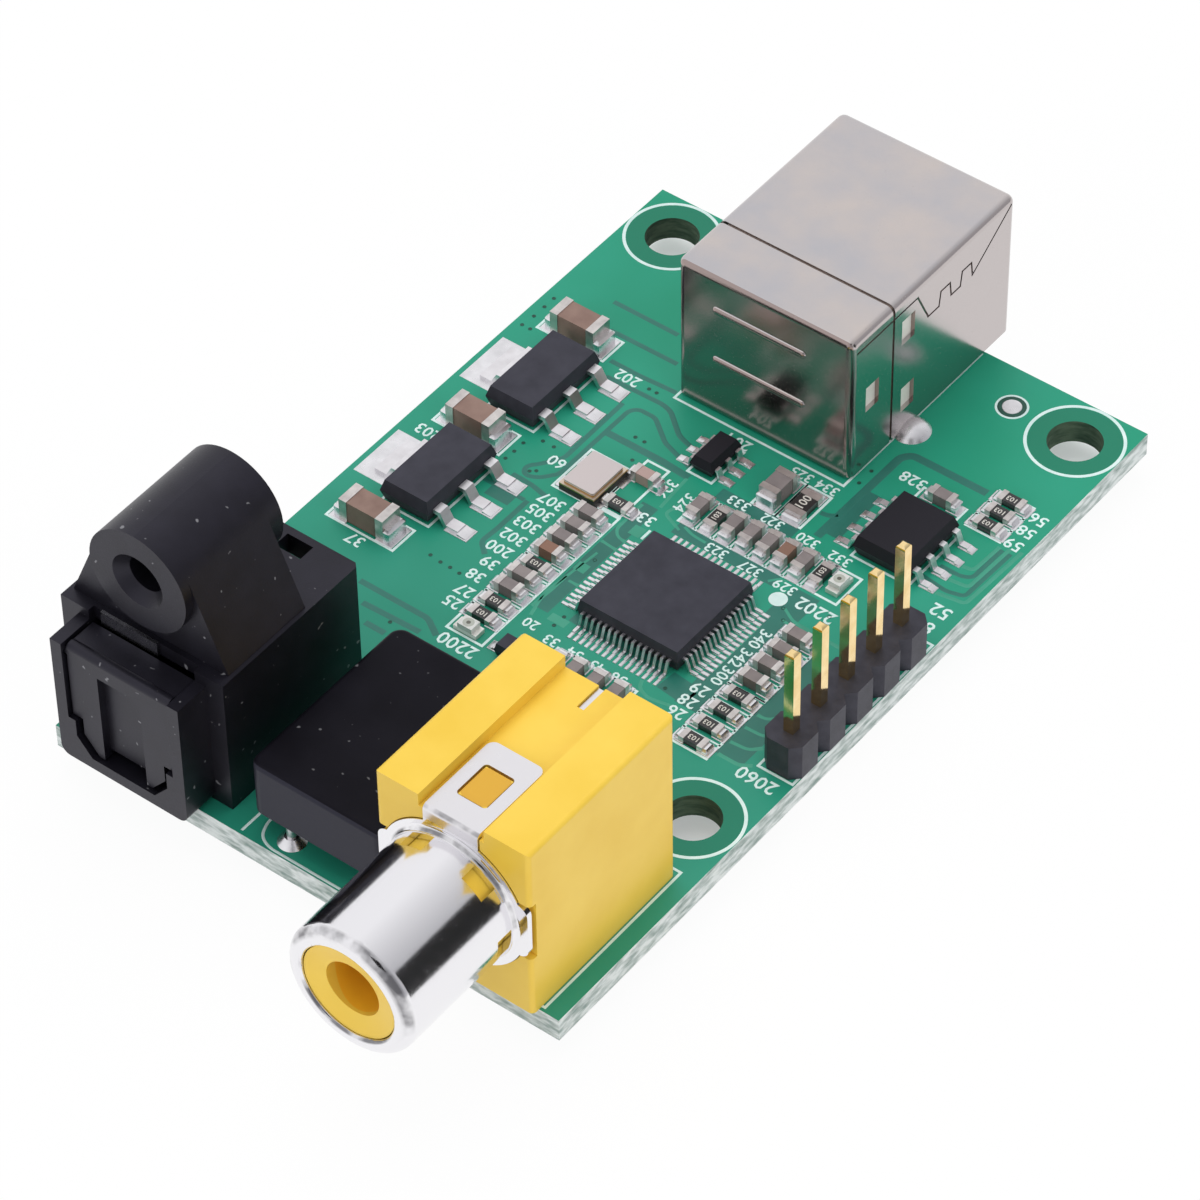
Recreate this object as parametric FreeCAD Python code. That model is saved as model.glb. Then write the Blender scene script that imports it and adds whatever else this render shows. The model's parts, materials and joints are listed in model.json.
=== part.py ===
import FreeCAD, Part
import math
import os

# A USB audio module: a bare circuit board with its sockets and small parts.
# Lengths are millimetres. The pieces are laid out from the board's front left corner on its top face:
# x to the right along the audio sockets, y towards the USB socket, z up.
# The finished part has its origin under the board, at the centre of the four screw holes.

V = FreeCAD.Vector
X = V(1, 0, 0)
Y = V(0, 1, 0)
Z = V(0, 0, 1)

# Circuit board
BOARD_W = 35.0
BOARD_L = 55.0
BOARD_T = 1.6
SCREW_R = 1.65
SCREW_EDGE = 3.0
SCREW_DY = 36.4

# Soldered leads: how far they stand out below the board, and the room round them in its holes
LEAD_TIP = 1.4
LEAD_GAP = 0.15
SOLDER_H = 0.8
TOP_SOLDER_H = 0.45
SOLDER_REACH = 0.42
SOLDER_NECK = 0.12

# USB socket: outside, folded sheet, mouth, tongue, contacts and solder lugs
USB_W = 12.3
USB_L = 15.9
USB_H = 10.65
USB_OVERHANG = 2.4
USB_SHEET = 0.3
USB_BEND = 0.5
USB_FOOT = 0.2
USB_COVER_L = 3.85
USB_SEAM = 0.2
USB_FIT = 0.05
MOUTH_W = 8.45
MOUTH_H = 7.78
MOUTH_DEPTH = 8.9
MOUTH_CHAMFER = 1.6
TONGUE_W = 5.6
TONGUE_H = 3.2
TONGUE_SETBACK = 1.7
CONTACT_W = 1.0
CONTACT_T = 0.3
CONTACT_PITCH = 2.5
CONTACT_ROWS = 2.0
CONTACT_SETBACK = 0.6
CONTACT_TAIL_Y = 0.9
CONTACT_TAIL_W = 0.5
LUG_W = 1.8
LUG_FROM_TAILS = 4.71
RIB_L = 6.0
RIB_R = 0.3
RIB_SINK = 0.12
RIB_LEFT = 0.35
RIB_LOW = 4.2
RIB_HIGH = 8.05
LATCH_W = 1.25
LATCH_H = 1.85
NIB_SHARE = 0.9
LATCH_COVER = (2.0, 5.4)
LATCH_SHELL = ((5.4, 8.0), (5.5, 2.7))
FOLD_DROP = 0.95
INTERLOCK_LEAD = 2.2
INTERLOCK_FALL = 2.25
INTERLOCK_FALL_L = 1.1
INTERLOCK_TEETH = 2
INTERLOCK_TOOTH = 1.05
INTERLOCK_SLANT = 0.15
SEAM_CUT = 0.14
LUG_SOLDER_R = 1.2
LUG_SOLDER_H = 0.6
LUG_SOLDER_OUT = 0.3

# Optical socket: moulded housing, nose, keyed port and cavity
OPT_W = 11.4
OPT_FRONT = 1.1
OPT_L = 11.4
OPT_H = 9.65
OPT_EDGE = 0.25
NOSE_WALL = 0.775
NOSE_L = 2.35
NOSE_LIFT = 0.1
NOSE_DROP = 0.7
NOSE_CORNER = 0.6
PORT_W = 7.45
PORT_FLOOR = 0.9
PORT_KEY_H = 2.4
PORT_KEY_W = 1.0
PORT_KEY_RISE = 1.2
PORT_STEP = 0.5
PORT_DEPTH = 9.0
PORT_ROOF_T = 0.2
TROUGH_BACK = 0.45
FERRULE_R = 1.3
FERRULE_Z = 4.75
PORT_WALL = 0.9
SLOT_W = 1.8
SLOT_L = 1.1
SLOT_FROM_MIDDLE = 1.1
SLOT_FROM_BACK = 0.5

# Screw tower on the optical socket
TOWER_R = 3.35
TOWER_Z = 14.0
TOWER_L = 8.0
TOWER_SETBACK = 0.17
WEB_SETBACK = 0.8
WEB_L = 6.35
WEB_SIDE = 0.25
TOWER_HOLE_R = 1.15
TOWER_HOLE_DEPTH = 7.0
TOWER_SINK_R = 1.75
TOWER_SINK_DEPTH = 0.7

# Shutter of the optical port, hung on two round ends in the nose, with its spring strip
FLAP_GAP = 0.15
FLAP_KEY_GAP = 0.2
FLAP_T = 0.8
FLAP_ROUND_SHARE = 0.45
FLAP_SET = 0.25
FLAP_TOP_DROP = 0.12
HINGE_DROP = 0.6
HINGE_R = 0.4
HINGE_GAP = 0.08
HINGE_END = 0.45
FLAP_POCKET_W = 3.0
FLAP_POCKET_TOP = 7.5
FLAP_POCKET_DEPTH = 0.5
FLAP_POCKET_LIP = 0.5
LEVER_T = 0.45
LEVER_DROP = 0.08
LEVER_GAP = 0.15
STRIP_W = 4.0
STRIP_T = 0.2
STRIP_H = 0.95
STRIP_LEFT = 1.1

# Emitter behind the port
EMIT_W = 6.0
EMIT_H = 7.2
EMIT_T = 2.6
EMIT_FIT = 0.05
EMIT_LENS_R = 1.1
EMIT_LEAD_PITCH = 2.54
EMIT_LEADS = 3
EMIT_LEAD_W = 0.5
EMIT_LEAD_T = 0.4

# Coaxial jack: moulded body, barrel, strap, centre contact
COAX_W = 10.1
COAX_FRONT = -0.5
COAX_L = 12.3
COAX_H = 12.4
COAX_EDGE = 0.3
SIDE_NOTCH = 0.5
SIDE_NOTCH_H = 4.1
CHANNEL_W = 4.3
CHANNEL_DEPTH = 0.85
BARREL_R = 4.13
BARREL_WALL = 0.4
BARREL_Z = 6.35
BARREL_L = 8.85
BARREL_FIT = 0.05
LIP_R = 3.05
LIP_T = 0.8
LIP_ROUND = 0.75
LIP_INSIDE_ROUND = 0.25
COLLAR_L = 0.6
FLANGE_R = 4.75
FLANGE_SINK = 0.25
ROOT_FLARE = 0.33
EAR_REACH = 4.95
EAR_H = 3.9
EAR_ROUND = 0.7
ROOT_GAP_START = 0.33
FLANGE_T = 0.35
ROOT_GAP_L = 1.45
ROOT_GAP_W = 1.6
ROOT_GAPS = 6
ROOT_GAP_FIRST = 52
STRAP_W = 3.6
STRAP_L = 5.65
STRAP_BEND_SHARE = 0.9
STRAP_CORNER = 0.5
STRAP_WINDOW_W = 2.0
STRAP_WINDOW_L = 2.55
STRAP_WINDOW_FROM_FRONT = 1.6
STRAP_WINDOW_CORNER = 0.25
NUB_FIT = 0.1
NUB_DROP = 0.1
FUNNEL_R = 2.85
FUNNEL_L = 0.3
PIN_HOLE_R = 1.75
SLEEVE_R = 1.95
SLEEVE_FROM_FRONT = 5.0
SLEEVE_L = 8.0
SLEEVE_WALL = 0.4
BLADE_T = 0.35
BLADE_W = 1.8
BLADE_TOP_DROP = 0.15
BLADE_LEAD_W = 0.9
BLADE_FROM_AXIS = 0.3
NECK_H = 1.4
GROUND_LEAD_W = 1.2
GROUND_LEAD_BACK = 2.6
GROUND_LEAD_Z = 0.2

# Pulse transformer
TRAFO_W = 9.5
TRAFO_FRONT = 0.6
TRAFO_L = 12.75
TRAFO_STAND = 1.8
TRAFO_H = 3.7
TRAFO_CORNER = 0.8
TRAFO_EDGE = 0.3
TRAFO_PIN_R = 0.3
TRAFO_PIN_PITCH = 5.08
TRAFO_PINS = 2
TRAFO_PIN_INSET = 0.7
TRAFO_PIN_SEAT = 1.0

# Pin header
HEADER_PITCH = 2.54
HEADER_PINS = 5
HEADER_PAST_MAIN = 0.1
HEADER_H = 2.5
HEADER_NOTCH = 0.55
HEADER_PIN_W = 0.64
HEADER_PIN_TOP = 8.57
HEADER_POINT_SHARE = 0.4

# Chips with bent leads: bodies widest half way up, leads bent at a knee and a heel
DRAFT = 0.22
MAIN_DRAFT = 0.11
CHIP_STAND = 0.1
LEAD_KNEE_SHARE = 0.28
LEAD_HEEL_SHARE = 0.52
LEAD_BEND_SHARE = 0.6

MAIN_H = 1.4
MAIN_LEADS = 16
MAIN_PITCH = 0.4
MAIN_END = 0.5
MAIN_LEAD_W = 0.18
MAIN_LEAD_T = 0.13
MAIN_OUT = 1.0

REG_W = 3.5
REG_H = 1.55
REG_LEADS = 3
REG_PITCH = 2.3
REG_END = 0.85
REG_LEAD_W = 0.75
REG_LEAD_T = 0.28
REG_OUT = 1.75
REG_TAB_W = 3.0

SIX_W = 1.6
SIX_H = 1.1
SIX_PER_SIDE = 3
SIX_PITCH = 0.95
SIX_END = 0.5
SIX_LEAD_W = 0.4
SIX_LEAD_T = 0.15
SIX_OUT = 0.65

EIGHT_W = 3.9
EIGHT_H = 1.45
EIGHT_PER_SIDE = 4
EIGHT_PITCH = 1.27
EIGHT_END = 0.545
EIGHT_LEAD_W = 0.42
EIGHT_LEAD_T = 0.2
EIGHT_OUT = 1.1

DIODE_L = 1.7
DIODE_W = 1.25
DIODE_H = 0.9
DIODE_LEAD_W = 0.5
DIODE_LEAD_T = 0.15
DIODE_OUT = 0.4

# Oscillator
OSC_W = 2.5
OSC_L = 3.2
OSC_BASE_H = 0.55
OSC_LID_H = 0.25
OSC_LID_INSET = 0.16

# Blocks with metal ends: small ones in rows, two larger ones, three bulk capacitors
SMALL_L = 1.6
SMALL_W = 0.8
SMALL_CAP_H = 0.8
SMALL_RES_H = 0.45
SMALL_END = 0.35
SMALL_SKIN = 0.03
LARGE_L = 2.0
LARGE_W = 1.25
LARGE_CAP_H = 1.2
LARGE_RES_H = 0.5
LARGE_END = 0.45
LARGE_SKIN = 0.04
BULK_L = 3.2
BULK_W = 1.6
BULK_H = 1.6
BULK_END = 0.55
BULK_SKIN = 0.05
LAMP_BASE_H = 0.3
LAMP_LENS_L = 1.0
LAMP_LENS_H = 0.35

# Free room before each piece of a line, and after the last, in millimetres at the sizes above.
# When a size changes, the room that is left is shared out in these proportions.
# Across the board at the sockets: optical socket, transformer, coaxial jack
FRONT_ROOM = (0.4, 1.8, 0.49, 1.31)
# Across the board at the main chip: regulators, left row, main chip, right row, pin header
COLUMN_ROOM = (1.45, 4.35, 2.47, 2.08, 2.91, 0.0)
# From the transformer to the USB socket: front row, main chip, back row, larger blocks
MIDDLE_ROOM = (5.85, 1.86, 1.99, 2.0, 2.25)
# Between the screw holes on the left: bulk capacitors and regulators in turn
LEFT_ROOM = (6.15, 0.91, 0.84, 0.9, 0.95, 9.25)

# Rows of small parts: c is a capacitor, r a resistor, l a lamp
LEFT_ROW = "lrrccrcccc"
LEFT_ROW_GAP = 0.413
LEFT_ROW_SHIFT = -2.4
RIGHT_ROW = "rrrrcccc"
RIGHT_ROW_GAP = 0.561
RIGHT_ROW_SHIFT = -2.37
BACK_ROW = "crcccccrl"
BACK_ROW_GAP = 0.425
BACK_ROW_SHIFT = 1.77
FRONT_ROW = "rccc"
FRONT_ROW_GAP = 0.63
FRONT_ROW_SHIFT = -0.22
TRIO_ROW = "rrr"
TRIO_GAP = 0.4
TRIO_SHIFT = -1.68
TRIO_PAST_EIGHT = 1.03

# Single pieces, set beside their neighbours
OSC_SHIFT = -1.62
OSC_PAST_ROW = 0.51
OSC_SIDE_GAP = 0.32
OSC_SIDE_RES = -0.73
OSC_SIDE_CAP = 1.82
SIX_SHIFT = -4.82
LARGE_CAP_SHIFT = -0.39
LARGE_RES_GAP = 0.54
EIGHT_SHIFT = 0.37
EIGHT_PAST_LARGE = 1.07
EIGHT_CAP_SHIFT = -0.27
EIGHT_CAP_GAP = 1.18
DIODE_SHIFT = -4.57
DIODE_BEFORE_ROW = 0.8
BULK_SHIFT = -1.1

nodes = {}


def spread(low, high, widths, room):
    """Middles of pieces in a line between two limits, with the free room shared out between them."""
    free = (high - low - sum(widths)) / sum(room)
    middles = []
    edge = low
    for width, before in zip(widths, room):
        edge = edge + before * free
        middles.append(edge + width / 2)
        edge = edge + width
    return middles


def line_of(count, middle, step):
    """Evenly spaced places about a middle."""
    return [middle + (number - (count - 1) / 2) * step for number in range(count)]


# Sizes that follow from the sizes above
MAIN_BODY = (MAIN_LEADS - 1) * MAIN_PITCH + 2 * MAIN_END
MAIN_REACH = MAIN_BODY / 2 + MAIN_OUT
REG_L = (REG_LEADS - 1) * REG_PITCH + 2 * REG_END
REG_REACH = REG_W / 2 + REG_OUT
SIX_L = (SIX_PER_SIDE - 1) * SIX_PITCH + 2 * SIX_END
EIGHT_L = (EIGHT_PER_SIDE - 1) * EIGHT_PITCH + 2 * EIGHT_END
NOSE_W = PORT_W + 2 * NOSE_WALL
SMALL_CAP = (SMALL_L, SMALL_W, SMALL_CAP_H, SMALL_END, SMALL_SKIN)
SMALL_RES = (SMALL_L, SMALL_W, SMALL_RES_H, SMALL_END, SMALL_SKIN)
LARGE_CAP = (LARGE_L, LARGE_W, LARGE_CAP_H, LARGE_END, LARGE_SKIN)
LARGE_RES = (LARGE_L, LARGE_W, LARGE_RES_H, LARGE_END, LARGE_SKIN)
BULK_CAP = (BULK_L, BULK_W, BULK_H, BULK_END, BULK_SKIN)

# Places that follow from the sizes above
SCREW_X = (SCREW_EDGE, BOARD_W - SCREW_EDGE)
SCREW_Y = (BOARD_L - SCREW_EDGE - SCREW_DY, BOARD_L - SCREW_EDGE)
TIP_Z = -BOARD_T - LEAD_TIP
USB_X = BOARD_W / 2
USB_BACK = BOARD_L + USB_OVERHANG
USB_INNER = USB_BACK - USB_L
USB_TAILS = (USB_INNER + CONTACT_TAIL_Y, USB_INNER + CONTACT_TAIL_Y + CONTACT_ROWS)
LUG_Y = USB_TAILS[0] + LUG_FROM_TAILS

OPT_X, TRAFO_X, COAX_X = spread(0, BOARD_W, (OPT_W, TRAFO_W, COAX_W), FRONT_ROOM)
COLUMNS = (2 * REG_REACH, SMALL_L, 2 * MAIN_REACH, SMALL_L, HEADER_PITCH)
REG_X, LEFT_ROW_X, MAIN_X, RIGHT_ROW_X, HEADER_X = spread(0, BOARD_W, COLUMNS, COLUMN_ROOM)
LINES = (SMALL_L, 2 * MAIN_REACH, SMALL_L, LARGE_L)
FRONT_ROW_Y, MAIN_Y, BACK_ROW_Y, LARGE_Y = spread(TRAFO_FRONT + TRAFO_L, USB_INNER, LINES, MIDDLE_ROOM)
LEFT_PIECES = (BULK_W, REG_L, BULK_W, REG_L, BULK_W)
LEFT_Y = spread(SCREW_Y[0], SCREW_Y[1], LEFT_PIECES, LEFT_ROOM)
BULK_Y = LEFT_Y[0::2]
REG_Y = LEFT_Y[1::2]
BULK_X = REG_X + BULK_SHIFT
HEADER_Y = line_of(HEADER_PINS, MAIN_Y + HEADER_PAST_MAIN, HEADER_PITCH)

OPT_BACK = OPT_FRONT + OPT_L
NOSE_FRONT = OPT_FRONT - NOSE_L
NOSE_TOP = OPT_H - NOSE_DROP
PORT_ROOF = NOSE_TOP - PORT_ROOF_T
PORT_BACK = NOSE_FRONT + PORT_DEPTH
EMIT_FRONT = PORT_BACK + PORT_WALL
FLAP_FRONT = NOSE_FRONT + FLAP_SET
HINGE_Y = FLAP_FRONT + FLAP_T / 2
HINGE_Z = NOSE_TOP - FLAP_TOP_DROP - HINGE_DROP
TOWER_FRONT = OPT_FRONT + TOWER_SETBACK
COAX_BACK = COAX_FRONT + COAX_L
CHANNEL_Z = COAX_H - CHANNEL_DEPTH
BARREL_FRONT = COAX_FRONT - BARREL_L
BLADE_X = COAX_X + BLADE_FROM_AXIS
BLADE_BACK = COAX_BACK - BARREL_FIT
GROUND_LEAD_Y = COAX_FRONT + GROUND_LEAD_BACK
TRAFO_LEFT = TRAFO_X - TRAFO_W / 2
TRAFO_ROWS = (TRAFO_FRONT + TRAFO_PIN_INSET, TRAFO_FRONT + TRAFO_L - TRAFO_PIN_INSET)

LEFT_ROW_Y = line_of(len(LEFT_ROW), MAIN_Y + LEFT_ROW_SHIFT, SMALL_W + LEFT_ROW_GAP)
RIGHT_ROW_Y = line_of(len(RIGHT_ROW), MAIN_Y + RIGHT_ROW_SHIFT, SMALL_W + RIGHT_ROW_GAP)
BACK_ROW_X = line_of(len(BACK_ROW), MAIN_X + BACK_ROW_SHIFT, SMALL_W + BACK_ROW_GAP)
FRONT_ROW_X = line_of(len(FRONT_ROW), MAIN_X + FRONT_ROW_SHIFT, SMALL_W + FRONT_ROW_GAP)
OSC_X = LEFT_ROW_X + OSC_SHIFT
OSC_Y = LEFT_ROW_Y[-1] + SMALL_W / 2 + OSC_PAST_ROW + OSC_L / 2
OSC_SIDE_X = OSC_X + OSC_W / 2 + OSC_SIDE_GAP + SMALL_L / 2
SIX_X = MAIN_X + SIX_SHIFT
LARGE_CAP_X = MAIN_X + LARGE_CAP_SHIFT
LARGE_RES_X = LARGE_CAP_X + LARGE_W + LARGE_RES_GAP
EIGHT_X = RIGHT_ROW_X + EIGHT_SHIFT
EIGHT_Y = LARGE_Y + EIGHT_PAST_LARGE
EIGHT_BACK = EIGHT_Y + EIGHT_L / 2
EIGHT_CAP_Y = EIGHT_BACK + EIGHT_CAP_GAP + SMALL_W / 2
TRIO_X = HEADER_X + TRIO_SHIFT
TRIO_STEP = SMALL_W + TRIO_GAP
TRIO_MIDDLE = EIGHT_BACK + TRIO_PAST_EIGHT + SMALL_W / 2 + TRIO_STEP * (len(TRIO_ROW) - 1) / 2
TRIO_Y = line_of(len(TRIO_ROW), TRIO_MIDDLE, TRIO_STEP)
DIODE_X = MAIN_X + DIODE_SHIFT
DIODE_Y = FRONT_ROW_Y - DIODE_BEFORE_ROW



def box(x0, x1, y0, y1, z0, z1):
    """Block between two corners."""
    return Part.makeBox(x1 - x0, y1 - y0, z1 - z0, V(x0, y0, z0))


def block(x, y, z0, width, length, height):
    """Block centred on x and y, standing on z0."""
    return box(x - width / 2, x + width / 2, y - length / 2, y + length / 2, z0, z0 + height)


def prism(points, push):
    """Flat outline pushed along a vector."""
    return Part.Face(Part.makePolygon(points + [points[0]])).extrude(push)


def fuse(pieces):
    """One solid from touching pieces."""
    whole = pieces[0]
    for piece in pieces[1:]:
        whole = whole.fuse(piece)
    return whole.removeSplitter()


def cut(shape, tools):
    """Shape less a list of tools."""
    for tool in tools:
        shape = shape.cut(tool)
    return shape


def straight_edges(shape, axis, wanted):
    """Straight edges along an axis whose middle point is wanted."""
    found = []
    for edge in shape.Edges:
        along = edge.lastVertex().Point - edge.firstVertex().Point
        if along.cross(axis).Length < 1e-6 and along.Length > 1e-6 and wanted(edge.CenterOfMass):
            found.append(edge)
    return found


def drafted_block(x, y, z0, width, length, height, inset):
    """Moulded block, widest half way up, with sides that lean in by the inset."""
    half = height / 2
    tiers = []
    for z, lean in ((z0, inset), (z0 + half, 0), (z0 + height, inset)):
        w = width / 2 - lean
        n = length / 2 - lean
        corners = [V(x - w, y - n, z), V(x + w, y - n, z), V(x + w, y + n, z), V(x - w, y + n, z)]
        tiers.append(Part.makePolygon(corners + [corners[0]]))
    return Part.makeLoft(tiers, True, True)


def gull_lead(start, reach, width, thick, top):
    """Bent lead along +x from a chip's side down to the board, centred on y = 0."""
    run = reach - start
    knee = start + run * LEAD_KNEE_SHARE
    heel = start + run * LEAD_HEEL_SHARE
    bend = thick * LEAD_BEND_SHARE
    outline = [
        V(start, 0, top),
        V(knee, 0, top),
        V(heel, 0, thick),
        V(reach, 0, thick),
        V(reach, 0, 0),
        V(heel - bend, 0, 0),
        V(knee - bend, 0, top - thick),
        V(start, 0, top - thick),
    ]
    lead = prism(outline, V(0, width, 0))
    lead.translate(V(0, -width / 2, 0))
    return lead


def turned(shape, x, y, degrees):
    """Copy of a shape made round the origin, turned about z and moved to x, y."""
    copy = shape.copy()
    copy.rotate(V(0, 0, 0), Z, degrees)
    copy.translate(V(x, y, 0))
    return copy


def solder_cone(x, y, z, lead, reach, up):
    """Fillet of solder on the board round a lead."""
    bottom = reach + SOLDER_NECK + SOLDER_REACH
    height = TOP_SOLDER_H if up else SOLDER_H
    cone = Part.makeCone(bottom, reach + SOLDER_NECK, height, V(x, y, z), Z if up else -Z)
    return cone.cut(lead)


# USB socket
def usb_outside(margin):
    """Outside of the folded sheet, or of its hollow when a margin is taken off."""
    bend = USB_BEND - margin
    half = USB_W / 2 - margin
    top = USB_H - margin
    low = USB_FOOT if margin == 0 else -USB_FOOT
    shape = box(USB_X - half, USB_X + half, USB_INNER + margin, USB_BACK - margin, low, top)
    edges = straight_edges(shape, Y, lambda p: p.z > USB_H / 2)
    edges += straight_edges(shape, X, lambda p: p.z > USB_H / 2)
    edges += straight_edges(shape, Z, lambda p: True)
    return shape.makeFillet(bend, edges)


def mouth_outline(y):
    """Outline of the USB mouth: a square with its two upper corners cut off."""
    low = (USB_H - MOUTH_H) / 2
    top = low + MOUTH_H
    half = MOUTH_W / 2
    shoulder = top - MOUTH_CHAMFER
    return [
        V(USB_X - half, y, low),
        V(USB_X + half, y, low),
        V(USB_X + half, y, shoulder),
        V(USB_X + half - MOUTH_CHAMFER, y, top),
        V(USB_X - half + MOUTH_CHAMFER, y, top),
        V(USB_X - half, y, shoulder),
    ]


def usb_latch(from_inner, z, depth):
    """Bar through both side walls, for a latch window or for the nib behind it."""
    y = USB_INNER + from_inner
    half = USB_W / 2 - depth
    return block(USB_X, y, z - LATCH_H / 2, 2 * half, LATCH_W, LATCH_H)


def usb_groove(points):
    """Narrow groove along a line of (y, z) points on the right side of the sheet."""
    side = USB_X + USB_W / 2
    depth = USB_SHEET / 2
    grooves = []
    for (y0, z0), (y1, z1) in zip(points[:-1], points[1:]):
        length = math.hypot(y1 - y0, z1 - z0)
        groove = Part.makeBox(2 * depth, length + SEAM_CUT, SEAM_CUT)
        groove.translate(V(-depth, -SEAM_CUT / 2, -SEAM_CUT / 2))
        groove.rotate(V(0, 0, 0), X, math.degrees(math.atan2(z1 - z0, y1 - y0)))
        groove.translate(V(side, y0, z0))
        grooves.append(groove)
    return grooves


def usb_interlock():
    """Toothed joint line of the folded shell, from its seam to its mouth."""
    y = USB_INNER + USB_COVER_L + USB_SEAM
    fold = USB_H - FOLD_DROP
    low = fold - INTERLOCK_FALL
    high = low + INTERLOCK_TOOTH
    points = [(y, fold), (y + INTERLOCK_LEAD, fold)]
    y = y + INTERLOCK_LEAD + INTERLOCK_FALL_L
    points.append((y, low))
    for tooth in range(INTERLOCK_TEETH):
        y = y + INTERLOCK_TOOTH
        points.append((y, low))
        points.append((y + INTERLOCK_SLANT, high))
        y = y + INTERLOCK_TOOTH
        points.append((y, high))
        points.append((y + INTERLOCK_SLANT, low))
    points.append((USB_BACK - USB_BEND, USB_H - USB_BEND))
    return points


def make_usb():
    """Shell, rear cover, insulator and contacts of the USB socket."""
    hollow = usb_outside(0).cut(usb_outside(USB_SHEET))
    seam = USB_INNER + USB_COVER_L
    far = USB_W + USB_L
    rear = hollow.common(box(USB_X - far, USB_X + far, USB_INNER - far, seam, 0, far))
    shell = hollow.common(box(USB_X - far, USB_X + far, seam + USB_SEAM, USB_BACK + far, 0, far))

    ribs = []
    for z in (RIB_LOW, RIB_HIGH):
        start = V(USB_X - RIB_LEFT - RIB_L / 2, USB_INNER + RIB_SINK, z)
        bar = Part.makeCylinder(RIB_R, RIB_L, start, X)
        ends = [Part.makeSphere(RIB_R, start), Part.makeSphere(RIB_R, start + X * RIB_L)]
        ribs += [bar] + ends
    rear = fuse([rear] + ribs).cut(usb_outside(USB_SHEET))
    rear = rear.cut(usb_latch(*LATCH_COVER, -USB_SHEET))
    fold = USB_H - FOLD_DROP
    rear = cut(rear, usb_groove([(USB_INNER + USB_BEND, fold), (seam, fold)]))

    front = Part.Face(Part.makePolygon(mouth_outline(USB_BACK) + mouth_outline(USB_BACK)[:1]))
    shell = shell.cut(front.extrude(V(0, -MOUTH_DEPTH, 0)))
    shell = cut(shell, [usb_latch(*place, -USB_SHEET) for place in LATCH_SHELL])
    shell = cut(shell, usb_groove(usb_interlock()))
    lugs = []
    for side in (-1, 1):
        outer = USB_X + side * USB_W / 2
        inner = outer - side * USB_SHEET
        wall = (min(inner, outer), max(inner, outer))
        lugs.append(box(*wall, LUG_Y - LUG_W / 2, LUG_Y + LUG_W / 2, TIP_Z, USB_FOOT))
    shell = fuse([shell] + lugs)

    contacts = []
    middle = USB_H / 2
    tip = USB_BACK - TONGUE_SETBACK - CONTACT_SETBACK
    for row, tail_y in ((1, USB_TAILS[0]), (-1, USB_TAILS[1])):
        face = middle + row * TONGUE_H / 2
        low = min(face, face - row * CONTACT_T)
        for x in line_of(2, USB_X, CONTACT_PITCH):
            strip = box(x - CONTACT_W / 2, x + CONTACT_W / 2, tail_y, tip, low, low + CONTACT_T)
            tail_h = low + CONTACT_T - TIP_Z
            tail = block(x, tail_y + CONTACT_T / 2, TIP_Z, CONTACT_TAIL_W, CONTACT_T, tail_h)
            contacts.append(fuse([strip, tail]))

    inset = USB_SHEET + USB_FIT
    inside = usb_outside(inset).common(box(-far, far + USB_X, 0, USB_BACK + far, 0, far))
    mouth = front.extrude(V(0, -MOUTH_DEPTH, 0))
    tongue_end = USB_BACK - TONGUE_SETBACK
    tongue = box(USB_X - TONGUE_W / 2, USB_X + TONGUE_W / 2, USB_BACK - MOUTH_DEPTH, tongue_end,
                 middle - TONGUE_H / 2, middle + TONGUE_H / 2)
    nibs = [usb_latch(*place, NIB_SHARE * USB_SHEET) for place in (LATCH_COVER,) + LATCH_SHELL]
    nibs = [nib.common(box(-far, far + USB_X, 0, USB_BACK, 0, far)) for nib in nibs]
    insulator = fuse([inside] + nibs).cut(mouth)
    insulator = cut(fuse([insulator, tongue]), contacts)

    nodes["usb_shell"] = shell
    nodes["usb_rear_cover"] = rear
    nodes["usb_insulator"] = insulator
    for number, contact in enumerate(contacts, 1):
        nodes["usb_contact_%d" % number] = contact


# Optical socket
def port_outline(y, inset, top, key_inset=0):
    """Keyed outline of the port: a square whose lower corners step in and slope."""
    half = PORT_W / 2 - inset
    low = PORT_FLOOR + inset
    shelf = PORT_FLOOR + PORT_KEY_H + inset
    step = half - PORT_STEP - key_inset
    foot = step - PORT_KEY_W
    right = [(foot, low), (step, low + PORT_KEY_RISE), (step, shelf), (half, shelf), (half, top)]
    left = [(-x, z) for x, z in reversed(right)]
    return [V(OPT_X + x, y, z) for x, z in right + left]


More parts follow.
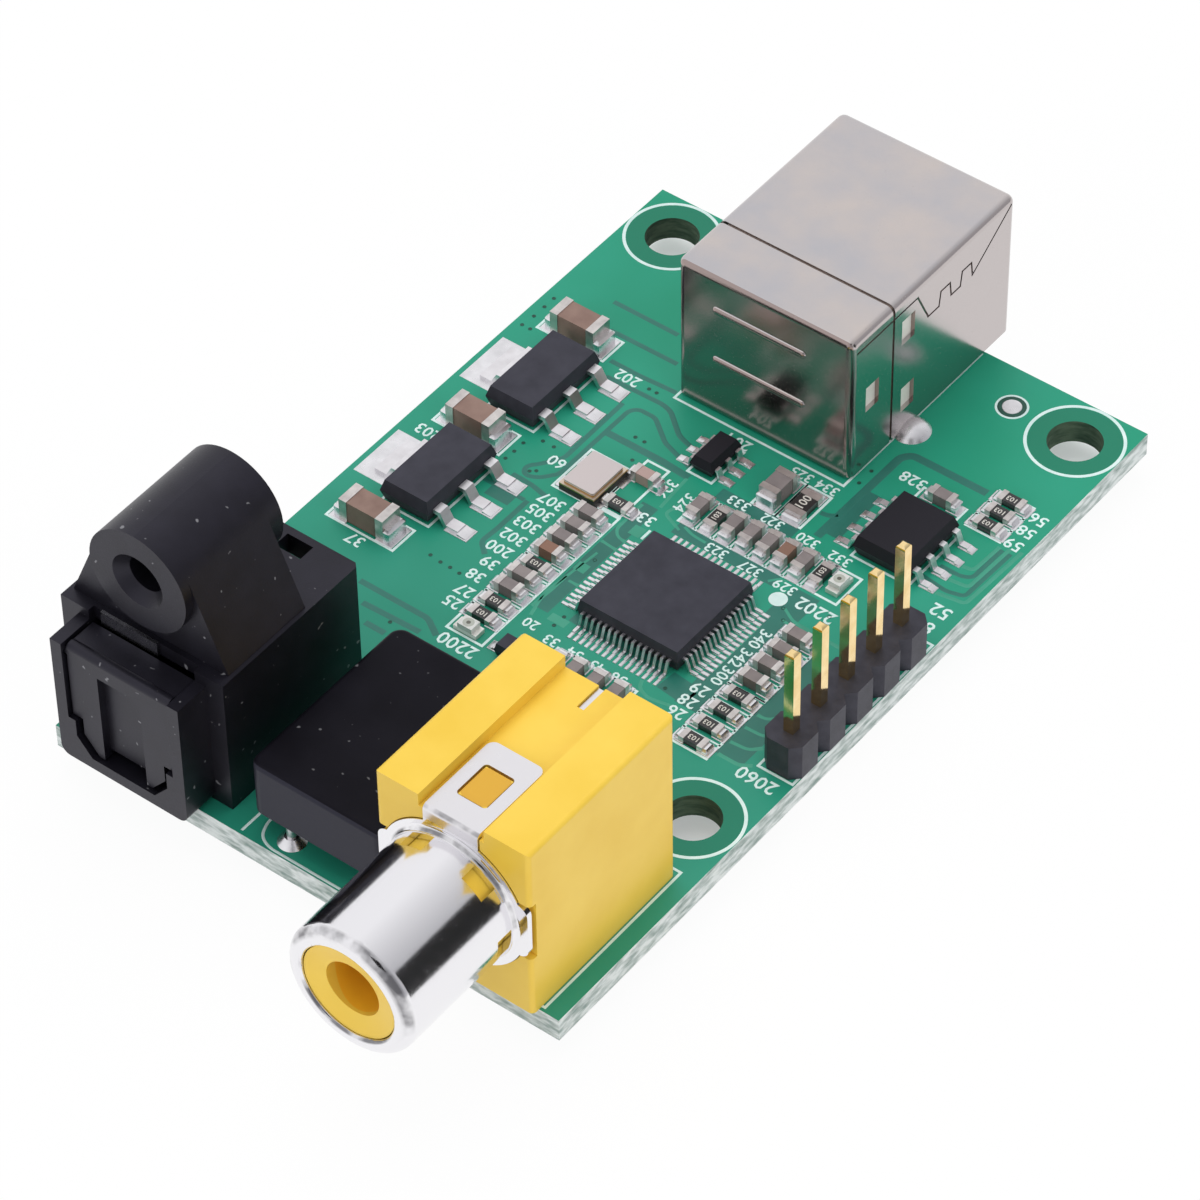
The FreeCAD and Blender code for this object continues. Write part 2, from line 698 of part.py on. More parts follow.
def make_optical_housing():
    """Moulded housing with nose, port, screw tower and the seat of the emitter."""
    half = OPT_W / 2
    body = box(OPT_X - half, OPT_X + half, OPT_FRONT, OPT_BACK, 0, OPT_H)
    body = body.makeChamfer(OPT_EDGE, straight_edges(body, Z, lambda p: p.y > OPT_FRONT + OPT_EDGE))
    nose_half = NOSE_W / 2
    nose = box(OPT_X - nose_half, OPT_X + nose_half, NOSE_FRONT, OPT_FRONT, NOSE_LIFT, NOSE_TOP)
    nose = nose.makeFillet(NOSE_CORNER, straight_edges(nose, Y, lambda p: p.z < OPT_H / 2))

    barrel = Part.makeCylinder(TOWER_R, TOWER_L, V(OPT_X, TOWER_FRONT, TOWER_Z), Y)
    foot = half - WEB_SIDE
    drop = TOWER_Z - OPT_H
    lean = math.atan2(drop, foot)
    swing = math.acos(TOWER_R / math.hypot(foot, drop)) - lean
    touch_x = TOWER_R * math.cos(swing)
    touch_z = TOWER_Z + TOWER_R * math.sin(swing)
    web_front = OPT_FRONT + WEB_SETBACK
    web = prism([
        V(OPT_X - foot, web_front, OPT_H),
        V(OPT_X + foot, web_front, OPT_H),
        V(OPT_X + touch_x, web_front, touch_z),
        V(OPT_X - touch_x, web_front, touch_z),
    ], V(0, WEB_L, 0))
    housing = fuse([body, nose, barrel, web])

    port = prism(port_outline(NOSE_FRONT, 0, PORT_ROOF), V(0, PORT_DEPTH, 0))
    port_half = PORT_W / 2
    trough = box(OPT_X - port_half, OPT_X + port_half, NOSE_FRONT, OPT_FRONT + TROUGH_BACK,
                 HINGE_Z, OPT_H)
    pin_half = port_half + HINGE_END + FLAP_GAP
    pivot = Part.makeCylinder(HINGE_R + HINGE_GAP, 2 * pin_half, V(OPT_X - pin_half, HINGE_Y, HINGE_Z), X)
    ferrule = Part.makeCylinder(FERRULE_R, PORT_WALL, V(OPT_X, PORT_BACK, FERRULE_Z), Y)
    seat_half = EMIT_W / 2 + EMIT_FIT
    seat_top = PORT_FLOOR + EMIT_H + EMIT_FIT
    seat = box(OPT_X - seat_half, OPT_X + seat_half, EMIT_FRONT, OPT_BACK, 0, seat_top)
    screw = Part.makeCylinder(TOWER_HOLE_R, TOWER_HOLE_DEPTH, V(OPT_X, TOWER_FRONT, TOWER_Z), Y)
    sink = Part.makeCone(TOWER_SINK_R, TOWER_HOLE_R, TOWER_SINK_DEPTH, V(OPT_X, TOWER_FRONT, TOWER_Z), Y)
    slots = []
    slot_back = OPT_BACK - SLOT_FROM_BACK
    for side in (-1, 1):
        x = OPT_X + side * (SLOT_FROM_MIDDLE + SLOT_W / 2)
        slots.append(block(x, slot_back - SLOT_L / 2, PORT_FLOOR + EMIT_H, SLOT_W, SLOT_L, OPT_H))
    nodes["optical_housing"] = cut(housing, [port, trough, pivot, ferrule, seat, screw, sink] + slots)


def make_shutter():
    """Swinging shutter with its round hinge ends and its lever, and the spring strip behind it."""
    top = NOSE_TOP - FLAP_TOP_DROP
    flap = prism(port_outline(FLAP_FRONT, FLAP_GAP, top, FLAP_KEY_GAP), V(0, FLAP_T, 0))
    hinge_edges = straight_edges(flap, X, lambda p: p.z > top - FLAP_T)
    flap = flap.makeFillet(FLAP_T * FLAP_ROUND_SHARE, hinge_edges)
    pocket = box(OPT_X - FLAP_POCKET_W / 2, OPT_X + FLAP_POCKET_W / 2, FLAP_FRONT,
                 FLAP_FRONT + FLAP_POCKET_DEPTH, 0, FLAP_POCKET_TOP)
    notch = box(OPT_X - FLAP_POCKET_W / 2, OPT_X + FLAP_POCKET_W / 2, FLAP_FRONT, FLAP_FRONT + FLAP_T,
                0, PORT_FLOOR + FLAP_GAP + FLAP_POCKET_LIP)
    pin_half = PORT_W / 2 + HINGE_END
    pin = Part.makeCylinder(HINGE_R, 2 * pin_half, V(OPT_X - pin_half, HINGE_Y, HINGE_Z), X)
    back = OPT_FRONT + TROUGH_BACK
    lever_half = PORT_W / 2 - FLAP_GAP
    lever_top = top - LEVER_DROP
    lever = box(OPT_X - lever_half, OPT_X + lever_half, HINGE_Y, back - STRIP_T - LEVER_GAP,
                lever_top - LEVER_T, lever_top)
    nodes["optical_shutter"] = cut(fuse([flap, pin, lever]), [pocket, notch])

    x = OPT_X - STRIP_LEFT
    nodes["shutter_spring"] = block(x, back - STRIP_T / 2, PORT_ROOF, STRIP_W, STRIP_T, STRIP_H)


def emitter_lead(number):
    """One lead of the emitter, down through the board."""
    x = OPT_X + (number - (EMIT_LEADS - 1) / 2) * EMIT_LEAD_PITCH
    y = EMIT_FRONT + EMIT_FIT + EMIT_T / 2
    return x, y, block(x, y, TIP_Z, EMIT_LEAD_W, EMIT_LEAD_T, PORT_FLOOR - TIP_Z)


def make_emitter():
    """Emitter block with its lens and leads."""
    y0 = EMIT_FRONT + EMIT_FIT
    half = EMIT_W / 2
    body = box(OPT_X - half, OPT_X + half, y0, y0 + EMIT_T, PORT_FLOOR, PORT_FLOOR + EMIT_H)
    lens = Part.makeCylinder(EMIT_LENS_R, PORT_WALL, V(OPT_X, y0 - PORT_WALL, FERRULE_Z), Y)
    nodes["optical_emitter"] = fuse([body, lens])
    nodes["optical_leads"] = Part.makeCompound([emitter_lead(n)[2] for n in range(EMIT_LEADS)])


# Coaxial jack
def rings(shape, y, radius):
    """Round edges of a turned shape at a place along its axis, with one radius."""
    found = []
    for edge in shape.Edges:
        curve = edge.Curve
        if not isinstance(curve, Part.Circle):
            continue
        if abs(curve.Center.y - y) < 1e-6 and abs(curve.Radius - radius) < 1e-6:
            found.append(edge)
    return found


def sleeve_lead(z0, z1):
    """Narrow lower end of the centre contact's blade."""
    y = BLADE_BACK - BLADE_W / 2
    return block(BLADE_X, y, z0, BLADE_T, BLADE_LEAD_W, z1 - z0)


def make_coax():
    """Moulded body, barrel with strap and ground lead, and centre contact."""
    half = COAX_W / 2
    axis = V(COAX_X, COAX_FRONT, BARREL_Z)
    body = box(COAX_X - half, COAX_X + half, COAX_FRONT, COAX_BACK, 0, COAX_H)
    edges = straight_edges(body, Y, lambda p: p.z > COAX_H / 2)
    edges += straight_edges(body, Z, lambda p: True)
    body = body.makeFillet(COAX_EDGE, edges)
    channel = box(COAX_X - CHANNEL_W / 2, COAX_X + CHANNEL_W / 2, COAX_FRONT, COAX_BACK, CHANNEL_Z, COAX_H)
    body = body.cut(channel)
    tube_r = BARREL_R - BARREL_WALL - BARREL_FIT
    tube_l = BARREL_L - LIP_T - BARREL_FIT
    tube = Part.makeCylinder(tube_r, tube_l, axis, -Y)
    collar = Part.makeCylinder(LIP_R - BARREL_FIT, COLLAR_L, axis - Y * tube_l, -Y)
    window_y = COAX_FRONT + STRAP_WINDOW_FROM_FRONT + STRAP_WINDOW_L / 2
    nub = block(COAX_X, window_y, CHANNEL_Z, STRAP_WINDOW_W - 2 * NUB_FIT, STRAP_WINDOW_L - 2 * NUB_FIT,
                FLANGE_T - NUB_DROP)
    body = fuse([body, tube, collar, nub])
    notches = []
    for side in (-1, 1):
        x = COAX_X + side * (half - SIDE_NOTCH / 2)
        y = COAX_FRONT + SIDE_NOTCH / 2
        notches.append(block(x, y, BARREL_Z - SIDE_NOTCH_H / 2, SIDE_NOTCH, SIDE_NOTCH, SIDE_NOTCH_H))
    seat_y = COAX_FRONT + FLANGE_SINK
    strap_fit = STRAP_W / 2 + BARREL_FIT
    lead_half = GROUND_LEAD_W / 2 + BARREL_FIT
    sunk = fuse([
        Part.makeCylinder(FLANGE_R + BARREL_FIT, FLANGE_SINK, axis, Y),
        box(COAX_X - half, COAX_X + half, COAX_FRONT, seat_y, BARREL_Z - SIDE_NOTCH_H / 2,
            BARREL_Z + SIDE_NOTCH_H / 2),
        box(COAX_X - strap_fit, COAX_X + strap_fit, COAX_FRONT, seat_y, BARREL_Z, COAX_H),
        box(COAX_X - lead_half, COAX_X + lead_half, COAX_FRONT, seat_y, 0, BARREL_Z),
    ])
    notches.append(sunk.cut(Part.makeCylinder(tube_r, FLANGE_SINK, axis, Y)))
    mouth_y = COAX_FRONT - tube_l - COLLAR_L
    funnel = Part.makeCone(FUNNEL_R, PIN_HOLE_R, FUNNEL_L, V(COAX_X, mouth_y, BARREL_Z), Y)
    sleeve_y = mouth_y + SLEEVE_FROM_FRONT
    sleeve_end = sleeve_y + SLEEVE_L
    pin_hole = Part.makeCylinder(PIN_HOLE_R, SLEEVE_FROM_FRONT, V(COAX_X, mouth_y, BARREL_Z), Y)
    seat = Part.makeCylinder(SLEEVE_R + BARREL_FIT, SLEEVE_L, V(COAX_X, sleeve_y, BARREL_Z), Y)
    slit_half = BLADE_T / 2 + BARREL_FIT
    slit_front = BLADE_BACK - BLADE_W - BARREL_FIT
    slit = box(BLADE_X - slit_half, BLADE_X + slit_half, slit_front, COAX_BACK, 0, COAX_H)
    neck_half = NECK_H / 2 + BARREL_FIT
    neck_slot = box(BLADE_X - slit_half, BLADE_X + slit_half, sleeve_end - SLEEVE_WALL, BLADE_BACK,
                    BARREL_Z - neck_half, BARREL_Z + neck_half)
    groove = box(COAX_X - lead_half, COAX_X + lead_half, COAX_FRONT, GROUND_LEAD_Y + BARREL_FIT,
                 0, GROUND_LEAD_Z + FLANGE_T + BARREL_FIT)
    nodes["coax_body"] = cut(body, [funnel, pin_hole, seat, slit, neck_slot, groove] + notches)

    root = V(COAX_X, seat_y, BARREL_Z)
    flange_y = seat_y - FLANGE_T
    turned_l = BARREL_L + FLANGE_SINK
    outer = Part.makeCylinder(BARREL_R, turned_l, root, -Y)
    lip = Part.makeCylinder(LIP_R, turned_l, root, -Y)
    flange = Part.makeCylinder(FLANGE_R, FLANGE_T, root, -Y)
    turned = fuse([outer, flange]).cut(lip)
    turned = turned.makeFillet(LIP_ROUND, rings(turned, BARREL_FRONT, BARREL_R))
    turned = turned.makeFillet(LIP_INSIDE_ROUND, rings(turned, BARREL_FRONT, LIP_R))
    turned = turned.makeFillet(ROOT_FLARE, rings(turned, flange_y, BARREL_R))
    bore = Part.makeCylinder(BARREL_R - BARREL_WALL, turned_l - LIP_T, root, -Y)
    ears = box(COAX_X - EAR_REACH, COAX_X + EAR_REACH, flange_y, seat_y,
               BARREL_Z - EAR_H / 2, BARREL_Z + EAR_H / 2)
    ears = ears.makeFillet(EAR_ROUND, straight_edges(ears, Y, lambda p: True))
    strap_half = STRAP_W / 2
    strap_top = CHANNEL_Z + FLANGE_T
    strap_end = COAX_FRONT + STRAP_L
    riser = box(COAX_X - strap_half, COAX_X + strap_half, flange_y, seat_y, BARREL_Z, strap_top)
    strap = box(COAX_X - strap_half, COAX_X + strap_half, flange_y, strap_end, CHANNEL_Z, strap_top)
    folded = fuse([riser, strap])
    outer_bend = straight_edges(folded, X, lambda p: p.z > CHANNEL_Z and p.y < seat_y - FLANGE_T / 2)
    folded = folded.makeFillet(FLANGE_T * STRAP_BEND_SHARE, outer_bend)
    corners = straight_edges(folded, Z, lambda p: p.y > strap_end - STRAP_CORNER)
    folded = folded.makeFillet(STRAP_CORNER, corners)
    window = block(COAX_X, window_y, CHANNEL_Z, STRAP_WINDOW_W, STRAP_WINDOW_L, FLANGE_T)
    window = window.makeFillet(STRAP_WINDOW_CORNER, straight_edges(window, Z, lambda p: True))
    left = COAX_X - GROUND_LEAD_W / 2
    right = COAX_X + GROUND_LEAD_W / 2
    run_top = GROUND_LEAD_Z + FLANGE_T
    drop = box(left, right, flange_y, seat_y, GROUND_LEAD_Z, BARREL_Z)
    run = box(left, right, flange_y, GROUND_LEAD_Y, GROUND_LEAD_Z, run_top)
    peg = box(left, right, GROUND_LEAD_Y - FLANGE_T, GROUND_LEAD_Y, TIP_Z, run_top)
    barrel = cut(fuse([turned, ears, folded, drop]), [bore, window])
    gaps = []
    for number in range(ROOT_GAPS):
        degrees = ROOT_GAP_FIRST + number * 360 / ROOT_GAPS
        gap = box(0, 2 * BARREL_R, -FLANGE_T - ROOT_GAP_L, -FLANGE_T - ROOT_GAP_START,
                  -ROOT_GAP_W / 2, ROOT_GAP_W / 2)
        gap.rotate(V(0, 0, 0), Y, -degrees)
        gap.translate(root)
        gaps.append(gap)
    nodes["coax_barrel"] = fuse([cut(barrel, gaps), run, peg])

    sleeve = Part.makeCylinder(SLEEVE_R, SLEEVE_L - BARREL_FIT, V(COAX_X, sleeve_y, BARREL_Z), Y)
    sleeve_back = sleeve_end - BARREL_FIT - SLEEVE_WALL
    hollow_l = sleeve_back - sleeve_y
    hollow = Part.makeCylinder(SLEEVE_R - SLEEVE_WALL, hollow_l, V(COAX_X, sleeve_y, BARREL_Z), Y)
    neck = box(BLADE_X - BLADE_T / 2, BLADE_X + BLADE_T / 2, sleeve_back, BLADE_BACK,
               BARREL_Z - NECK_H / 2, BARREL_Z + NECK_H / 2)
    blade = box(BLADE_X - BLADE_T / 2, BLADE_X + BLADE_T / 2, BLADE_BACK - BLADE_W, BLADE_BACK,
                GROUND_LEAD_Z, CHANNEL_Z - BLADE_TOP_DROP)
    contact = fuse([sleeve.cut(hollow), neck, blade, sleeve_lead(TIP_Z, GROUND_LEAD_Z)])
    nodes["coax_contact"] = contact


# Pulse transformer
def transformer_pins():
    """Round pins, in a front and a back row."""
    pins = []
    for y in TRAFO_ROWS:
        for x in line_of(TRAFO_PINS, TRAFO_X, TRAFO_PIN_PITCH):
            height = TRAFO_STAND + TRAFO_PIN_SEAT - TIP_Z
            pins.append((x, y, Part.makeCylinder(TRAFO_PIN_R, height, V(x, y, TIP_Z))))
    return pins


def make_transformer():
    """Moulded case on pins, clear of the board."""
    case = box(TRAFO_LEFT, TRAFO_LEFT + TRAFO_W, TRAFO_FRONT, TRAFO_FRONT + TRAFO_L,
               TRAFO_STAND, TRAFO_STAND + TRAFO_H)
    case = case.makeFillet(TRAFO_CORNER, straight_edges(case, Z, lambda p: True))
    rim = [edge for edge in case.Edges if abs(edge.CenterOfMass.z - TRAFO_STAND - TRAFO_H) < 1e-6]
    case = case.makeFillet(TRAFO_EDGE, rim)
    pins = [pin for x, y, pin in transformer_pins()]
    nodes["transformer_case"] = cut(case, pins)
    nodes["transformer_pins"] = Part.makeCompound(pins)


# Pin header
def header_pin(number):
    """Square pin with a pointed top."""
    y = HEADER_Y[number]
    pin = block(HEADER_X, y, TIP_Z, HEADER_PIN_W, HEADER_PIN_W, HEADER_PIN_TOP - TIP_Z)
    tips = [edge for edge in pin.Edges if abs(edge.CenterOfMass.z - HEADER_PIN_TOP) < 1e-6]
    return y, pin.makeFillet(HEADER_POINT_SHARE * HEADER_PIN_W, tips)


def make_header():
    """Row of notched cells with a pin through each."""
    cells = []
    pins = []
    for number in range(HEADER_PINS):
        y, pin = header_pin(number)
        cell = block(HEADER_X, y, 0, HEADER_PITCH, HEADER_PITCH, HEADER_H)
        cells.append(cell.makeChamfer(HEADER_NOTCH, straight_edges(cell, Z, lambda p: True)))
        pins.append(pin)
        nodes["header_pin_%d" % (number + 1)] = pin
    nodes["header_base"] = cut(fuse(cells), pins)


# Chips
def make_main_chip():
    """Square chip with leads on all four sides."""
    body = drafted_block(MAIN_X, MAIN_Y, CHIP_STAND, MAIN_BODY, MAIN_BODY, MAIN_H, MAIN_DRAFT)
    lead_top = CHIP_STAND + MAIN_H / 2 + MAIN_LEAD_T / 2
    lead = gull_lead(MAIN_BODY / 2, MAIN_REACH, MAIN_LEAD_W, MAIN_LEAD_T, lead_top)
    leads = []
    for side in range(4):
        for offset in line_of(MAIN_LEADS, 0, MAIN_PITCH):
            copy = lead.copy()
            copy.translate(V(0, offset, 0))
            leads.append(turned(copy, MAIN_X, MAIN_Y, 90 * side))
    nodes["main_chip_body"] = body
    nodes["main_chip_leads"] = Part.makeCompound(leads)


def make_six_lead_chip():
    """Small chip with three leads on its left and on its right."""
    nodes["six_lead_chip_body"] = drafted_block(SIX_X, LARGE_Y, CHIP_STAND, SIX_W, SIX_L, SIX_H, DRAFT)
    lead_top = CHIP_STAND + SIX_H / 2 + SIX_LEAD_T / 2
    lead = gull_lead(SIX_W / 2, SIX_W / 2 + SIX_OUT, SIX_LEAD_W, SIX_LEAD_T, lead_top)
    places = line_of(SIX_PER_SIDE, LARGE_Y, SIX_PITCH)
    leads = [turned(lead, SIX_X, y, side) for side in (0, 180) for y in places]
    nodes["six_lead_chip_leads"] = Part.makeCompound(leads)


def make_eight_lead_chip():
    """Chip with four leads on its left and on its right."""
    body = drafted_block(EIGHT_X, EIGHT_Y, CHIP_STAND, EIGHT_W, EIGHT_L, EIGHT_H, DRAFT)
    nodes["eight_lead_chip_body"] = body
    lead_top = CHIP_STAND + EIGHT_H / 2 + EIGHT_LEAD_T / 2
    lead = gull_lead(EIGHT_W / 2, EIGHT_W / 2 + EIGHT_OUT, EIGHT_LEAD_W, EIGHT_LEAD_T, lead_top)
    places = line_of(EIGHT_PER_SIDE, EIGHT_Y, EIGHT_PITCH)
    leads = [turned(lead, EIGHT_X, y, side) for side in (0, 180) for y in places]
    nodes["eight_lead_chip_leads"] = Part.makeCompound(leads)


def make_regulator(name, y):
    """Regulator with three leads to the right and a wide cooling tab to the left."""
    nodes[name + "_body"] = drafted_block(REG_X, y, CHIP_STAND, REG_W, REG_L, REG_H, DRAFT)
    top = CHIP_STAND + REG_H / 2 + REG_LEAD_T / 2
    lead = gull_lead(REG_W / 2, REG_REACH, REG_LEAD_W, REG_LEAD_T, top)
    tab = gull_lead(REG_W / 2, REG_REACH, REG_TAB_W, REG_LEAD_T, top)
    leads = [turned(tab, REG_X, y, 180)]
    leads += [turned(lead, REG_X, lead_y, 0) for lead_y in line_of(REG_LEADS, y, REG_PITCH)]
    nodes[name + "_leads"] = Part.makeCompound(leads)


def make_diode():
    """Small moulded diode with a lead at each end."""
    nodes["diode_body"] = drafted_block(DIODE_X, DIODE_Y, CHIP_STAND, DIODE_L, DIODE_W, DIODE_H, MAIN_DRAFT)
    lead_top = CHIP_STAND + DIODE_H / 2 + DIODE_LEAD_T / 2
    lead = gull_lead(DIODE_L / 2, DIODE_L / 2 + DIODE_OUT, DIODE_LEAD_W, DIODE_LEAD_T, lead_top)
    nodes["diode_leads"] = Part.makeCompound([turned(lead, DIODE_X, DIODE_Y, side) for side in (0, 180)])


def make_oscillator():
    """Ceramic base with a metal lid set in from its edges."""
    base = block(OSC_X, OSC_Y, 0, OSC_W, OSC_L, OSC_BASE_H)
    lid_w = OSC_W - 2 * OSC_LID_INSET
    lid_l = OSC_L - 2 * OSC_LID_INSET
    lid = block(OSC_X, OSC_Y, OSC_BASE_H, lid_w, lid_l, OSC_LID_H)
    nodes["oscillator_base"] = base
    nodes["oscillator_lid"] = lid.makeFillet(OSC_LID_INSET, straight_edges(lid, Z, lambda p: True))


# Blocks with end caps
def capped_block(size, x, y, degrees):
    """Ceramic block and its two metal ends, long way along x before it is turned."""
    length, width, height, cap, skin = size
    core = block(0, 0, skin, length - 2 * skin, width - 2 * skin, height - 2 * skin)
    ends = []
    for side in (-1, 1):
        middle = side * (length - cap) / 2
        ends.append(turned(block(middle, 0, 0, cap, width, height).cut(core), x, y, degrees))
    return turned(core, x, y, degrees), ends


def lamp(x, y, degrees):
    """Small lamp: a flat base with a clear lens on it."""
    base = block(0, 0, 0, SMALL_L, SMALL_W, LAMP_BASE_H)
    lens = block(0, 0, LAMP_BASE_H, LAMP_LENS_L, SMALL_W, LAMP_LENS_H)
    return turned(base, x, y, degrees), turned(lens, x, y, degrees)


def small_parts():
    """Kind, place and turn of every small part that stands in a row or alone."""
    found = []
    for row, x, places in ((LEFT_ROW, LEFT_ROW_X, LEFT_ROW_Y), (RIGHT_ROW, RIGHT_ROW_X, RIGHT_ROW_Y),
                           (TRIO_ROW, TRIO_X, TRIO_Y)):
        found += [(kind, x, y, 0) for kind, y in zip(row, places)]
    for row, places, y in ((BACK_ROW, BACK_ROW_X, BACK_ROW_Y), (FRONT_ROW, FRONT_ROW_X, FRONT_ROW_Y)):
        found += [(kind, x, y, 90) for kind, x in zip(row, places)]
    found.append(("r", OSC_SIDE_X, OSC_Y + OSC_SIDE_RES, 0))
    found.append(("c", OSC_SIDE_X, OSC_Y + OSC_SIDE_CAP, 0))
    found.append(("c", EIGHT_X + EIGHT_CAP_SHIFT, EIGHT_CAP_Y, 0))
    return found


def make_small_parts():
    """Rows of capacitors, resistors and lamps, and the larger blocks."""
    cores = {"c": [], "r": []}
    caps = {"c": [], "r": []}
    lamps = 0
    for kind, x, y, degrees in small_parts():
        if kind == "l":
            lamps += 1
            base, lens = lamp(x, y, degrees)
            nodes["lamp_%d_base" % lamps] = base
            nodes["lamp_%d_lens" % lamps] = lens
        else:
            core, ends = capped_block(SMALL_CAP if kind == "c" else SMALL_RES, x, y, degrees)
            cores[kind].append(core)
            caps[kind] += ends
    nodes["small_capacitors"] = Part.makeCompound(cores["c"])
    nodes["small_capacitor_ends"] = Part.makeCompound(caps["c"])
    nodes["small_resistors"] = Part.makeCompound(cores["r"])
    nodes["small_resistor_ends"] = Part.makeCompound(caps["r"])

    larger = [("large_capacitor", LARGE_CAP, LARGE_CAP_X, LARGE_Y, 90)]
    larger.append(("large_resistor", LARGE_RES, LARGE_RES_X, LARGE_Y, 90))
    larger += [("bulk_capacitor_%d" % n, BULK_CAP, BULK_X, y, 0) for n, y in enumerate(BULK_Y, 1)]
    for name, size, x, y, degrees in larger:
        core, ends = capped_block(size, x, y, degrees)
        nodes[name] = core
        nodes[name + "_ends"] = Part.makeCompound(ends)


# Board and solder
def lug_solder(side):
    """Dome of solder on the board beside one of the USB shell's lugs."""
    wall = USB_X + side * USB_W / 2
    ball_r = (LUG_SOLDER_R ** 2 + LUG_SOLDER_H ** 2) / (2 * LUG_SOLDER_H)
    centre = V(wall + side * LUG_SOLDER_OUT, LUG_Y, LUG_SOLDER_H - ball_r)
    ball = Part.makeSphere(ball_r, centre)
    far = 2 * LUG_SOLDER_R
    edges = sorted((wall, wall + side * far))
    return ball.common(box(edges[0], edges[1], LUG_Y - far, LUG_Y + far, 0, LUG_SOLDER_H))


def soldered_leads():
    """Place, solid and half diagonal of every lead that passes through the board."""
    found = []
    for number in range(HEADER_PINS):
        y, pin = header_pin(number)
        found.append((HEADER_X, y, pin, math.hypot(HEADER_PIN_W, HEADER_PIN_W) / 2))
    for x, y, pin in transformer_pins():
        found.append((x, y, pin, TRAFO_PIN_R))
    for number in range(EMIT_LEADS):
        x, y, lead = emitter_lead(number)
        found.append((x, y, lead, math.hypot(EMIT_LEAD_W, EMIT_LEAD_T) / 2))
    for index, tail_y in enumerate(USB_TAILS):
        for side, x in enumerate(line_of(2, USB_X, CONTACT_PITCH)):
            contact = nodes["usb_contact_%d" % (1 + 2 * index + side)]
            found.append((x, tail_y + CONTACT_T / 2, contact, math.hypot(CONTACT_TAIL_W, CONTACT_T) / 2))
    for side in (-1, 1):
        x = USB_X + side * (USB_W - USB_SHEET) / 2
        found.append((x, LUG_Y, nodes["usb_shell"], math.hypot(LUG_W, USB_SHEET) / 2))
    blade_y = BLADE_BACK - BLADE_W / 2
    found.append((BLADE_X, blade_y, nodes["coax_contact"], math.hypot(BLADE_LEAD_W, BLADE_T) / 2))
    ground_y = GROUND_LEAD_Y - FLANGE_T / 2
    found.append((COAX_X, ground_y, nodes["coax_barrel"], math.hypot(GROUND_LEAD_W, FLANGE_T) / 2))
    return found


def make_board():
    """Sheet with screw holes and lead holes, and the solder round the leads."""
    board = box(0, BOARD_W, 0, BOARD_L, -BOARD_T, 0)
    holes = []
    for x in SCREW_X:
        for y in SCREW_Y:
            holes.append(Part.makeCylinder(SCREW_R, BOARD_T, V(x, y, -BOARD_T)))
    solder = []
    for x, y, lead, reach in soldered_leads():
        holes.append(Part.makeCylinder(reach + LEAD_GAP, BOARD_T, V(x, y, -BOARD_T)))
        solder.append(solder_cone(x, y, -BOARD_T, lead, reach, False))
    for x, y, pin in transformer_pins():
        solder.append(solder_cone(x, y, 0, pin, TRAFO_PIN_R, True))
    for side in (-1, 1):
        solder.append(lug_solder(side))
    nodes["circuit_board"] = cut(board, holes)
    nodes["solder_joints"] = Part.makeCompound(solder)


make_usb()
make_optical_housing()
make_shutter()
make_emitter()
make_coax()
make_transformer()
make_header()
make_main_chip()
make_six_lead_chip()
make_eight_lead_chip()
for letter, reg_y in zip("ab", REG_Y):
    make_regulator("regulator_" + letter, reg_y)
make_diode()
make_oscillator()
make_small_parts()
make_board()

os.makedirs("parts", exist_ok=True)
origin = V(BOARD_W / 2, (SCREW_Y[0] + SCREW_Y[1]) / 2, -BOARD_T)
for name, shape in nodes.items():
    placed = shape.copy()
    placed.translate(-origin)
    placed.exportStep("parts/" + name + ".step")
    print(name, len(placed.Solids), placed.isValid(), round(placed.Volume, 2))
print(len(nodes), "nodes")
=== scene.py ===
# %% [markdown]
# The model is a small audio board: a green circuit board with a square data socket at the back,
# an optical socket, a transformer and a yellow phono jack at the front, and tiny parts between.
# The solids come from CAD, already at their true size, so this lesson only dresses them.
# Everything is in metres, in the frame of the solids, and the origin is under the board, midway
# between its four screw holes.

# %% Load the solids
import json
import math

import bmesh
import bpy
from mathutils import Matrix, Vector

